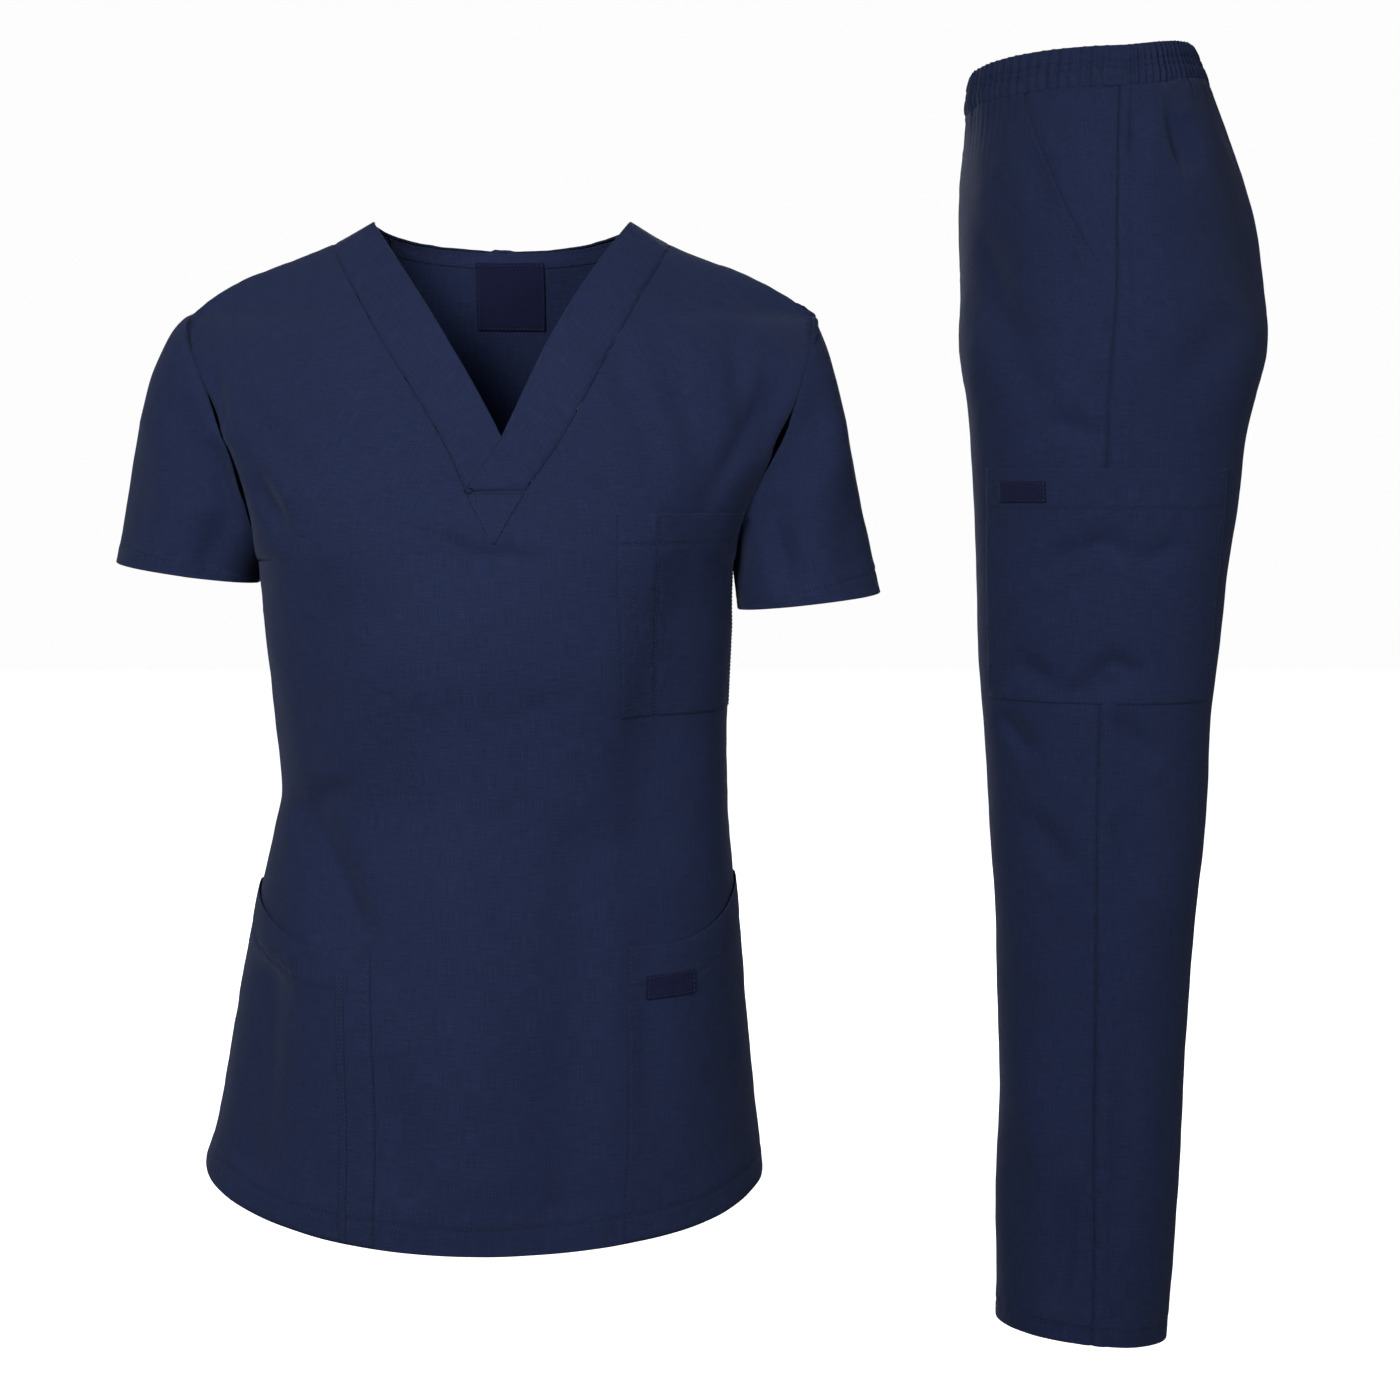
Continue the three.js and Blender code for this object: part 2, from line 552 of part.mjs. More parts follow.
const column = (grid, i) => (grid.closed ? (i + grid.columns) % grid.columns : clamp(i, 0, grid.columns));
const rowOf = (grid, j) => clamp(j, 0, grid.rows);
const at = (grid, i, j) => grid.points[rowOf(grid, j)][column(grid, i)];
const width = (grid) => (grid.closed ? grid.columns : grid.columns + 1);

function normalAt(grid, i, j) {
  const across = at(grid, i + 1, j).clone().sub(at(grid, i - 1, j));
  const up = at(grid, i, j + 1).clone().sub(at(grid, i, j - 1));
  return across.cross(up).normalize();
}

function forEachPoint(grid, visit) {
  for (let j = 0; j <= grid.rows; j += 1) {
    for (let i = 0; i < width(grid); i += 1) visit(i, j, grid.points[j][i]);
  }
}

// The places where grids meet, each with every grid point that lies there.
function meetings(grids) {
  const places = new Map();
  for (const grid of grids) {
    forEachPoint(grid, (i, j, here) => {
      const onSide = !grid.closed && (i === 0 || i === grid.columns);
      if (!onSide && j !== 0 && j !== grid.rows) return;
      const key = here.toArray().map((value) => Math.round(value * 20)).join(' ');
      const inI = grid.closed ? i : clamp(i, 1, grid.columns - 1);
      const inwards = at(grid, inI, clamp(j, 1, grid.rows - 1)).clone().sub(here).normalize();
      if (!places.has(key)) places.set(key, []);
      places.get(key).push({ grid, i, j, inwards });
    });
  }
  return [...places.values()].filter((meeting) => meeting.length > 1);
}

// Works out every grid's normals, and gives pieces that meet at a seam one shared normal there.
function findNormals(grids) {
  for (const grid of grids) {
    grid.normals = grid.points.map((row, j) => row.map((_, i) => normalAt(grid, i, j)));
  }
  for (const meeting of meetings(grids)) {
    const own = meeting.map(({ grid, i, j }) => grid.normals[j][i].clone());
    meeting.forEach(({ grid, i, j }, k) => {
      const sum = point(0, 0, 0);
      for (const normal of own) if (normal.dot(own[k]) > DEEP_CREASE) sum.add(normal);
      grid.normals[j][i] = sum.normalize();
    });
  }
}

// Distance from a point to a fold's line, both as seen square on to the face.
function distanceToFold(x, z, fold) {
  const alongX = fold.toX - fold.x;
  const alongZ = fold.toZ - fold.z;
  const t = clamp(((x - fold.x) * alongX + (z - fold.z) * alongZ) / (alongX ** 2 + alongZ ** 2), 0, 1);
  return Math.hypot(x - fold.x - t * alongX, z - fold.z - t * alongZ);
}

// Presses the soft folds into the cloth along its normals.
function foldCloth(grids, folds) {
  for (const grid of grids) {
    forEachPoint(grid, (i, j, here) => {
      const normal = grid.normals[j][i];
      let sink = 0;
      for (const fold of folds) {
        const forward = fold.face === 'front' || fold.face === 'left';
        const facing = smooth(forward ? -normal.y : normal.y, 0, 0.45);
        const away = distanceToFold(here.x, here.z, fold);
        sink += facing * fold.depth * Math.exp(-((away / fold.width) ** 2));
      }
      here.addScaledVector(normal, -sink);
    });
  }
}

// Draws pieces apart at their seams by half the seam gap each.
function openSeams(grids) {
  const moves = [];
  for (const meeting of meetings(grids)) {
    const mean = point(0, 0, 0);
    for (const { inwards } of meeting) mean.addScaledVector(inwards, 1 / meeting.length);
    const size = SEAM_GAP * (meeting.length > 2 ? 0.75 : 0.5);
    for (const { grid, i, j, inwards } of meeting) {
      const move = inwards.clone().sub(mean).normalize().multiplyScalar(size);
      moves.push({ here: grid.points[j][i], move });
    }
  }
  for (const { here, move } of moves) here.add(move);
}

// A closed wall between an outer grid of points and an inner one.
function wallGeometry(grid, inner) {
  const columns = width(grid);
  const count = columns * (grid.rows + 1);
  const positions = [];
  for (const layer of [grid.points, inner]) {
    for (const row of layer) for (const p of row) positions.push(p.x, p.y, p.z);
  }
  const index = (i, j) => j * columns + (grid.closed ? i % columns : i);
  const faces = [];
  const quad = (a, b, c, d) => faces.push(a, b, c, a, c, d);
  for (let j = 0; j < grid.rows; j += 1) {
    for (let i = 0; i < grid.columns; i += 1) {
      const [a, b, c, d] = [index(i, j), index(i + 1, j), index(i + 1, j + 1), index(i, j + 1)];
      quad(a, b, c, d);
      faces.push(count + a, count + c, count + b, count + a, count + d, count + c);
    }
  }
  // Both walls at a seam split their end faces the same way, so that twisted ends stay clear of each other.
  const place = (k) => positions[3 * k + 2] + 0.4 * positions[3 * k] + 0.6 * positions[3 * k + 1];
  const rim = (a, b) => {
    if (place(b) < place(a)) quad(b, a, count + a, count + b);
    else quad(a, count + a, count + b, b);
  };
  for (let i = 0; i < grid.columns; i += 1) {
    rim(index(i, 0), index(i + 1, 0));
    rim(index(i + 1, grid.rows), index(i, grid.rows));
  }
  if (!grid.closed) {
    for (let j = 0; j < grid.rows; j += 1) {
      rim(index(0, j + 1), index(0, j));
      rim(index(grid.columns, j), index(grid.columns, j + 1));
    }
  }
  const geometry = new THREE.BufferGeometry();
  geometry.setAttribute('position', new THREE.Float32BufferAttribute(positions, 3));
  geometry.setIndex(faces);
  return mergeVertices(geometry, 1e-4);
}

function clothMesh(grid, inner, colour = COLOURS.cloth) {
  const geometry = wallGeometry(grid, inner);
  geometry.computeVertexNormals();
  const material = new THREE.MeshStandardMaterial({ color: colour, roughness: 0.85, metalness: 0 });
  const mesh = new THREE.Mesh(geometry, material);
  mesh.name = grid.name;
  return mesh;
}

// A panel's wall: the grid's points and the same points moved in by the cloth's thickness.
function wall(grid, thickness) {
  const inner = grid.points.map((row, j) => row.map((p, i) => p.clone().addScaledVector(grid.normals[j][i], -thickness)));
  return clothMesh(grid, inner);
}

// The point and normal of a panel's facets at a column and row with fractions.
function sample(grid, u, v) {
  const i = clamp(Math.floor(u), 0, grid.columns - 1);
  const j = clamp(Math.floor(v), 0, grid.rows - 1);
  const f = u - i;
  const g = v - j;
  const blend = (layer) => {
    const pick = (a, b) => layer[b][column(grid, a)];
    const from = pick(i, j).clone();
    if (f >= g) {
      return from.addScaledVector(pick(i + 1, j).clone().sub(pick(i, j)), f)
        .addScaledVector(pick(i + 1, j + 1).clone().sub(pick(i + 1, j)), g);
    }
    return from.addScaledVector(pick(i, j + 1).clone().sub(pick(i, j)), g)
      .addScaledVector(pick(i + 1, j + 1).clone().sub(pick(i, j + 1)), f);
  };
  return { point: blend(grid.points), normal: blend(grid.normals).normalize() };
}

// A piece that lies on a panel: the panel's points moved out, or in when lift is below zero.
function laidOn(name, columns, rows, find, lift, thickness, colour) {
  const moved = (away) => makeGrid(name, columns, rows, (i, j) => {
    const spot = find(i, j);
    return spot.point.addScaledVector(spot.normal, away);
  });
  return clothMesh(moved(lift + thickness), moved(lift).points, colour);
}

// The lines of a panel's grid between two ends, with even steps added where the ends are far from them.
function stopsBetween(from, to, lines, step) {
  const inner = lines.filter((line) => line > from.high + 0.2 * step && line < to.low - 0.2 * step);
  const first = inner.length ? inner[0] : to.low;
  const before = inner.length ? Math.ceil((first - from.low) / step) : Math.ceil((to.high - from.low) / step);
  const after = inner.length ? Math.ceil((to.high - inner[inner.length - 1]) / step) : 0;
  return { inner, before: Math.max(1, before), after: Math.max(inner.length ? 1 : 0, after) };
}

// A patch on a torso panel. from and to give its side edges as shares across at a level, and low and high give
// its bottom and top edges as levels at a share across. Its inner columns and rows are the panel's own.
function torsoPatch(name, panel, patch, lift, thickness, colour) {
  const ends = [patch.low(0.4), patch.low(-0.4), patch.high(0.4), patch.high(-0.4)];
  const range = (edge) => {
    const values = ends.map(edge);
    return { low: Math.min(...values), high: Math.max(...values) };
  };
  const span = stopsBetween(range(patch.from), range(patch.to), panel.shares, 0.07);
  const { inner, before, after } = span;
  const columns = before + after + Math.max(0, inner.length - 1);
  const across = (i, z) => {
    const k = panel.isFront ? i : columns - i;
    if (!inner.length) return lerp(patch.from(z), patch.to(z), k / columns);
    if (k < before) return lerp(patch.from(z), inner[0], k / before);
    const past = k - before;
    if (past < inner.length) return inner[past];
    return lerp(inner[inner.length - 1], patch.to(z), (past - inner.length + 1) / after);
  };
  const middle = (range(patch.from).low + range(patch.to).high) / 2;
  const shares = [range(patch.from).low, middle, range(patch.to).high];
  const rowsInside = Array.from({ length: panel.rows }, (_, row) => row).filter((row) => shares.every((share) => {
    const z = gridLevel(panel, share, row);
    return z > patch.low(share) + 2 && z < patch.high(share) - 2;
  }));
  const rows = rowsInside.length + 1 + (rowsInside.length ? 0 : 1);
  const find = (i, j) => {
    let z = lerp(patch.low(middle), patch.high(middle), j / rows);
    let share = 0;
    for (let pass = 0; pass < 3; pass += 1) {
      share = across(i, z);
      if (j === 0) z = patch.low(share);
      else if (j === rows) z = patch.high(share);
      else if (rowsInside.length) z = gridLevel(panel, share, rowsInside[j - 1]);
      else z = lerp(patch.low(share), patch.high(share), j / rows);
    }
    const { u, v } = torsoWhere(panel, share, z);
    return sample(panel, u, v);
  };
  return laidOn(name, columns, rows, find, lift, thickness, colour);
}

// The top

const front = torsoPanel('top_front', frontTops(), true);
const back = torsoPanel('top_back', backTops(), false);
const bandLeft = neckBand('neckband_left', 1);
const bandRight = neckBand('neckband_right', -1);
const sleeveLeft = sleeve('sleeve_left', CUFFS.left);
const sleeveRight = sleeve('sleeve_right', CUFFS.right);
const topGrids = [front, back, bandLeft, bandRight, sleeveLeft, sleeveRight];
findNormals(topGrids);
foldCloth(topGrids, TOP_FOLDS);
findNormals(topGrids);
openSeams(topGrids);

const inFront = (x, z) => acrossAt(x, z, true);
const inBack = (x, z) => acrossAt(x, z, false);
const level = (z) => () => z;

// The triangle that backs the point of the V.
const TRIANGLE_TOP = V_CORNER.z - 1.5;
const triangleHalf = (z) => lerp(1, V_CORNER.x, (z - TRIANGLE_TIP) / (TRIANGLE_TOP - TRIANGLE_TIP));
const neckTriangle = torsoPatch('neck_triangle', front, {
  low: level(TRIANGLE_TIP),
  high: level(TRIANGLE_TOP),
  from: (z) => inFront(-triangleHalf(z), z),
  to: (z) => inFront(triangleHalf(z), z),
}, LIE_GAP, PATCH, COLOURS.cloth);

// Chest pocket on the wearer's left breast.
const POCKET_LIFT = 0.65; // it bridges the hollow beside the bust
const CHEST_POCKET = { inner: 81, sideShare: 0.93, top: -202, bottom: -340 };
const chestPocket = torsoPatch('chest_pocket', front, {
  low: level(CHEST_POCKET.bottom),
  high: level(CHEST_POCKET.top),
  from: (z) => inFront(CHEST_POCKET.inner, z),
  to: () => CHEST_POCKET.sideShare,
}, POCKET_LIFT, PATCH, COLOURS.cloth);

// Lower pockets: sewn into the side seams and the hem, open at the top. Each top edge is level at its front and
// curves up to the side seam.
const LOWER_POCKET = { rise: 36, frontTop: -495, frontEdgeTop: 87, frontEdgeBottom: 84, sideShare: 0.985 };
const MOUTH_CURVE = { from: 0.18, to: 1.12 }; // shares of the top edge between which it curves up
const pocketEdge = (z) => lerp(
  LOWER_POCKET.frontEdgeBottom,
  LOWER_POCKET.frontEdgeTop,
  clamp((z - SIDE_HEM) / (LOWER_POCKET.frontTop - SIDE_HEM), 0, 1),
);
const hemLevel = (across) => torsoLevel(0, null, across, true) + 1;
function lowerPocket(name, side) {
  const edgeShare = (z) => inFront(pocketEdge(z), z);
  const topEdge = (across) => {
    const first = edgeShare(LOWER_POCKET.frontTop);
    const along = clamp((Math.abs(across) - first) / (LOWER_POCKET.sideShare - first), 0, 1);
    return LOWER_POCKET.frontTop + LOWER_POCKET.rise * smooth(along, MOUTH_CURVE.from, MOUTH_CURVE.to);
  };
  return torsoPatch(name, front, {
    low: hemLevel,
    high: topEdge,
    from: (z) => (side > 0 ? edgeShare(z) : -LOWER_POCKET.sideShare),
    to: (z) => (side > 0 ? LOWER_POCKET.sideShare : -edgeShare(z)),
  }, LIE_GAP, PATCH, COLOURS.cloth);
}
const lowerPocketLeft = lowerPocket('lower_pocket_left', 1);
const lowerPocketRight = lowerPocket('lower_pocket_right', -1);

// The narrow utility strip down the right lower pocket, near its front edge.
const STRIP = { out: 19, width: 3, top: -500 };
const stripEdge = (more) => (z) => inFront(-(pocketEdge(z) + STRIP.out + more), z);
const utilityStrip = torsoPatch('utility_strip', front, {
  low: hemLevel,
  high: level(STRIP.top),
  from: stripEdge(STRIP.width),
  to: stripEdge(0),
}, 2 * LIE_GAP + PATCH, 1, COLOURS.cloth);

// The woven label at the left lower pocket's front top corner.
const POCKET_LABEL = { inset: 14, width: 33, height: 16, top: -515 };
const labelEdge = (more) => (z) => inFront(pocketEdge(z) + POCKET_LABEL.inset + more, z);
const pocketLabel = torsoPatch('pocket_label', front, {
  low: level(POCKET_LABEL.top - POCKET_LABEL.height),
  high: level(POCKET_LABEL.top),
  from: labelEdge(0),
  to: labelEdge(POCKET_LABEL.width),
}, 2 * LIE_GAP + PATCH, LABEL, COLOURS.label);

// Inside the back neck: the tape along its edge, and the neck label that hangs from the tape.
const TAPE = { height: 11, half: 84 };
// Level of the back neck edge at a share across, by way of the ring angle that the share stands for.
function neckEdge(across) {
  const limit = inBack(TAPE.half, 0);
  return ridgeAt(TAPE.half * clamp(across / limit, -1, 1), false).z;
}
const neckTape = torsoPatch('back_neck_tape', back, {
  low: (across) => neckEdge(across) - TAPE.height - 1.5,
  high: (across) => neckEdge(across) - 1.5,
  from: (z) => inBack(-TAPE.half, z),
  to: (z) => inBack(TAPE.half, z),
}, -CLOTH - LIE_GAP - PATCH, PATCH, COLOURS.tape);
const NECK_LABEL = { half: 25, top: -22, height: 48 };
const neckLabel = torsoPatch('neck_label', back, {
  low: level(NECK_LABEL.top - NECK_LABEL.height),
  high: level(NECK_LABEL.top),
  from: (z) => inBack(-NECK_LABEL.half, z),
  to: (z) => inBack(NECK_LABEL.half, z),
}, -CLOTH - 2 * LIE_GAP - PATCH - LABEL, LABEL, COLOURS.label);

// The trousers

const frontLeft = legPanel('leg_front_left', true, 1);
const backLeft = legPanel('leg_back_left', false, 1);
const frontRight = legPanel('leg_front_right', true, -1);
const backRight = legPanel('leg_back_right', false, -1);
const slantLeft = slantPiece('slant_pocket_left', 1);
const slantRight = slantPiece('slant_pocket_right', -1);
const trouserGrids = [frontLeft, backLeft, frontRight, backRight, slantLeft, slantRight];
findNormals(trouserGrids);
foldCloth(trouserGrids, TROUSER_FOLDS);
findNormals(trouserGrids);
openSeams(trouserGrids);
const band = waistband('waistband');
findNormals([band]);

// The cargo pocket lies across the left outseam, on the front and the back panel.
// Its edges are shares of the way round from the outseam, below zero ahead of it.
const CARGO = { top: -172, bottom: -341, ahead: [-0.33, -0.36], behind: [0.325, 0.38] };
function onLeftLeg(around, z) {
  // around is below zero ahead of the outseam.
  const panel = around < 0 ? frontLeft : backLeft;
  const { u, v } = legWhere(panel, Math.abs(around), z);
  return sample(panel, u, v);
}
// A patch on the left leg. ahead and behind give its side edges at the top and the bottom. Its inner columns and
// rows are the panels' own grid lines.
const aheadLines = Array.from({ length: STEPS.legFront }, (_, k) => (k - STEPS.legFront) / STEPS.legFront);
const behindLines = Array.from({ length: STEPS.legBack }, (_, k) => k / STEPS.legBack);
const legLevels = Array.from({ length: STEPS.leg }, (_, k) => trouserLevel(k, 0, true));
function legPatch(name, patch, lift, thickness, colour) {
  const within = (from, to) => (line) => line > from && line < to;
  const inner = [...aheadLines, ...behindLines].filter(within(Math.max(...patch.ahead), Math.min(...patch.behind)));
  const levels = [patch.bottom, ...legLevels.filter(within(patch.bottom, patch.top)), patch.top];
  const find = (i, j) => {
    const down = (patch.top - levels[j]) / (patch.top - patch.bottom);
    const stops = [lerp(...patch.ahead, down), ...inner, lerp(...patch.behind, down)];
    return onLeftLeg(stops[i], levels[j]);
  };
  return laidOn(name, inner.length + 1, levels.length - 1, find, lift, thickness, colour);
}
const cargoPocket = legPatch('cargo_pocket', CARGO, LIE_GAP, PATCH, COLOURS.cloth);
const CARGO_LABEL = { top: -181, bottom: -196, ahead: [-0.268, -0.268], behind: [-0.13, -0.13] };
const cargoLabel = legPatch('cargo_label', CARGO_LABEL, 2 * LIE_GAP + PATCH, LABEL, COLOURS.label);

const top = new THREE.Group();
for (const grid of [front, back, sleeveLeft, sleeveRight]) top.add(wall(grid, CLOTH));
for (const grid of [bandLeft, bandRight]) top.add(wall(grid, BAND));
top.add(neckTriangle, chestPocket, lowerPocketLeft, lowerPocketRight, utilityStrip, pocketLabel);
top.add(neckTape, neckLabel);

const trousers = new THREE.Group();
for (const grid of trouserGrids) trousers.add(wall(grid, CLOTH));
trousers.add(wall(band, CLOTH), cargoPocket, cargoLabel);
trousers.position.set(TROUSERS_AT.x, TROUSERS_AT.y, 0);
trousers.rotation.z = radians(TROUSERS_AT.turn);

const scrubs = new THREE.Group();
scrubs.add(top, trousers);
export default scrubs;
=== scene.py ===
"""Looks of a medical scrub set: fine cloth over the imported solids, with seams, stitches, gathers and labels.

The top faces forward. The trousers stand beside it in a frame of their own, turned so that the wearer's left
side faces forward. Shapes are worked out in millimetres from the same sizes as the solids, and every mesh is
written in metres.
"""

from __future__ import annotations

import logging
import math
from collections.abc import Callable, Sequence
from dataclasses import dataclass, field
from enum import Enum

import bmesh
import bpy
import numpy as np
from bpy.types import Material, Node, NodeSocket, NodeTree, Object
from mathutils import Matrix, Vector

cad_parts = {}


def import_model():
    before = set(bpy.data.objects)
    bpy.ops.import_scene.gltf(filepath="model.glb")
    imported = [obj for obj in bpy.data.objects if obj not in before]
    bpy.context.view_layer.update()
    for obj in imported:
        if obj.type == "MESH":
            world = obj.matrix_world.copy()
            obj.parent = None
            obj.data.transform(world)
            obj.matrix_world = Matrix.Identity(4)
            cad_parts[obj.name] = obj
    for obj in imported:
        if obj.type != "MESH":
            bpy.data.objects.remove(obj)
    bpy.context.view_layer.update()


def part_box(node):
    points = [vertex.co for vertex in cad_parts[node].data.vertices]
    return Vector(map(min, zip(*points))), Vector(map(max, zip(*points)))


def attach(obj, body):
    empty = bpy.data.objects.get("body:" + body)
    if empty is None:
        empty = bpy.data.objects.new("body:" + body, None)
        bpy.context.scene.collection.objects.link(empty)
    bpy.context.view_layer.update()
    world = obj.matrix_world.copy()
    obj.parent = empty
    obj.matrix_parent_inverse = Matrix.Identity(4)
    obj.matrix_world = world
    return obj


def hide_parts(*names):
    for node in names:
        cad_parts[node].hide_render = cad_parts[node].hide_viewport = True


Array = np.ndarray
Share = Callable[[Array], Array]

MM = 0.001  # metres in a millimetre
BODY = "root"  # the one body that every piece rides on
log = logging.getLogger("scrubs")


class Face(Enum):
    """The half of a garment that a panel belongs to, and the way that it looks along Y in its own frame."""

    FRONT = -1
    BACK = 1


class Side(Enum):
    """The wearer's side that a piece belongs to, and its sign along X on the top."""

    LEFT = 1
    RIGHT = -1


class Axis(Enum):
    """The way that a seam or stitched line runs on a piece of cloth."""

    ROW = "row"
    COLUMN = "column"


FRONT, BACK = Face
LEFT, RIGHT = Side
ROW, COLUMN = Axis


class Finish(Enum):
    """The record's material slots."""

    CLOTH = "cloth"
    LABEL = "label"
    TAPE = "tape"


# Plain numbers on curves


def lerp(start: Array | float, end: Array | float, share: Array | float) -> Array:
    """Returns the value at a share of the way from start to end."""
    return np.asarray(start + (end - start) * np.asarray(share, float))


def smooth(value: Array, low: float, high: float) -> Array:
    """Returns a smooth step from 0 at low to 1 at high."""
    t = np.clip((np.asarray(value, float) - low) / (high - low), 0, 1)
    return t * t * (3 - 2 * t)


RING_POWER = 0.92  # below 1, a ring is a little squarer than an ellipse


def squared(value: Array, power: float = RING_POWER) -> Array:
    """Returns a sine or cosine with its size raised to a power."""
    return np.sign(value) * np.abs(value) ** power


class Profile:
    """Named columns of numbers, each read on a smooth curve through its rows."""

    def __init__(self, names: str, rows: Sequence[tuple[float, ...]]) -> None:
        """Sorts the rows by their first column.

        Args:
            names: the columns' names, the key's first.
            rows: one tuple for each row of the table.
        """
        ordered = np.array(sorted(rows), float)
        self.keys = ordered[:, 0]
        self.columns = {name: ordered[:, k] for k, name in enumerate(names.split())}

    def read(self, name: str, at: Array | float) -> Array:
        """Reads a column.

        Args:
            name: the column.
            at: where to read it, as values of the key.

        Returns:
            The column's smooth values there.
        """
        keys, values = self.keys, self.columns[name]
        slopes = np.empty_like(values)
        slopes[1:-1] = (values[2:] - values[:-2]) / (keys[2:] - keys[:-2])
        slopes[0] = (values[1] - values[0]) / (keys[1] - keys[0])
        slopes[-1] = (values[-1] - values[-2]) / (keys[-1] - keys[-2])
        at = np.asarray(at, float)
        row = np.clip(np.searchsorted(keys, at) - 1, 0, len(keys) - 2)
        span = keys[row + 1] - keys[row]
        t = np.clip((at - keys[row]) / span, 0, 1)
        rise = 3 * t**2 - 2 * t**3
        start = slopes[row] * span * (t - 2 * t**2 + t**3)
        end = slopes[row + 1] * span * (t**3 - t**2)
        return lerp(values[row], values[row + 1], rise) + start + end


RIM_LINES = (0.7, 1.8)  # mm from a piece's ends
BESIDE_STITCH = 1.4  # mm from a stitched line to the grid lines beside it
CLEAR_OF_LINES, CLEAR_OF_ENDS = 0.5, 0.3


def stops(length: float, pitch: float, lines: Sequence[float] = ()) -> Array:
    """Places grid lines along a piece: even ones, and close ones at its ends and its stitched lines.

    Args:
        length: the piece's length in mm.
        pitch: the even lines' distance in mm.
        lines: distances of stitched lines from the start, or from the end where below zero.

    Returns:
        The lines' distances from the start.
    """
    first, second = RIM_LINES
    near = [first, second, length - second, length - first]
    for line in lines:
        at = line if line >= 0 else length + line
        near += [at - BESIDE_STITCH, at, at + BESIDE_STITCH]
    even = np.linspace(0, length, max(2, round(length / pitch)) + 1)
    kept = sorted(near)
    wanted = [at for at in even if min(abs(at - other) for other in kept) > CLEAR_OF_LINES]
    inside = sorted(at for at in {*kept, *wanted} if CLEAR_OF_ENDS < at < length - CLEAR_OF_ENDS)
    return np.array([0.0, *inside, length])


def ripple(points: Array, wavelength: float, seed: int) -> Array:
    """Makes a gentle unevenness that is the same each time.

    Args:
        points: places in mm.
        wavelength: the waves' mean length in mm.
        seed: which unevenness it is.

    Returns:
        A value of about -1 to 1 for each point.
    """
    chance = np.random.default_rng(seed)
    total = np.zeros(points.shape[:-1])
    waves = 7
    for _ in range(waves):
        way = chance.normal(size=3)
        way *= 2 * math.pi / (np.linalg.norm(way) * wavelength * chance.uniform(0.7, 1.5))
        total += np.sin(points @ way + chance.uniform(0, 2 * math.pi))
    return total / math.sqrt(waves)


# Cloth

FOLD_RELIEF = 1.6  # how much deeper the large folds are than in the solids, whose walls are thicker
CREASE_RELIEF = 3.4  # and the creases, which the solids leave out
SIDEWAYS = 0.45  # how squarely cloth faces forward or back where a fold has its full depth
TAPER_POWER = 0.8


@dataclass(frozen=True)
class Fold:
    """A soft trough along a bent line, as seen square on to its face, or a ridge, its depth below zero."""

    path: tuple[tuple[float, float], ...]
    width: float
    depth: float
    face: Face = FRONT
    tapered: bool = False
    steep: float = 1.0

    def nearest(self, spots: Array) -> tuple[Array, Array, Array]:
        """Measures points, sideways and up, against the line.

        Args:
            spots: the points in mm.

        Returns:
            How far off the line they lie, at which share of its length, and whether that is on its left.
        """
        corners = np.array(self.path)
        ways = np.diff(corners, axis=0)
        lengths = np.linalg.norm(ways, axis=1)
        before = np.concatenate([[0.0], np.cumsum(lengths)])
        best = np.full(spots.shape[:-1], np.inf)
        share, left = np.zeros_like(best), np.zeros(best.shape, bool)
        for corner, way, length, start in zip(corners, ways, lengths, before):
            offset = spots - corner
            part = np.clip((offset @ way) / length**2, 0, 1)
            away = np.linalg.norm(offset - part[..., None] * way, axis=-1)
            closer = away < best
            best = np.where(closer, away, best)
            share = np.where(closer, (start + part * length) / before[-1], share)
            left = np.where(closer, way[0] * offset[..., 1] - way[1] * offset[..., 0] > 0, left)
        return best, share, left

    def sink(self, points: Array, normals: Array) -> Array:
        """Works out how far the fold presses each point in.

        Args:
            points: the cloth's points in mm.
            normals: its normals there.

        Returns:
            The distances in mm.
        """
        away, share, left = self.nearest(points[..., [0, 2]])
        facing = smooth(self.face.value * normals[..., 1], 0, SIDEWAYS)
        ends = np.clip(np.sin(math.pi * share), 0, 1) ** TAPER_POWER if self.tapered else 1.0
        relief = CREASE_RELIEF if self.tapered else FOLD_RELIEF
        width = np.where(left, self.width * self.steep, self.width)
        return facing * self.depth * relief * ends * np.exp(-((away / width) ** 2))


def trough(
    x: float, z: float, to_x: float, to_z: float, width: float, depth: float, face: Face = FRONT
) -> Fold:
    """Returns a straight fold with full, rounded ends."""
    return Fold(((x, z), (to_x, to_z)), width, depth, face)


def crease(
    x: float, z: float, to_x: float, to_z: float, width: float, depth: float, face: Face = FRONT
) -> Fold:
    """Returns a straight fold that fades out at both of its ends."""
    return Fold(((x, z), (to_x, to_z)), width, depth, face, True)


def bend(*path: tuple[float, float], width: float, depth: float, steep: float = 0.45) -> Fold:
    """Returns a bent fold in the front that fades out at its ends and is steeper on its left."""
    return Fold(path, width, depth, FRONT, True, steep)


@dataclass(frozen=True)
class Line:
    """A seam or a stitched line that runs along a row or a column of a piece."""

    axis: Axis
    at: float
    depth: float = 0.32
    width: float = 1.5


FAR = 40.0  # mm from the nearest seam, for a point that has none near
PUCKER_LENGTH, PUCKER_REACH, PUCKER_GAP = 11, 7, 1.2


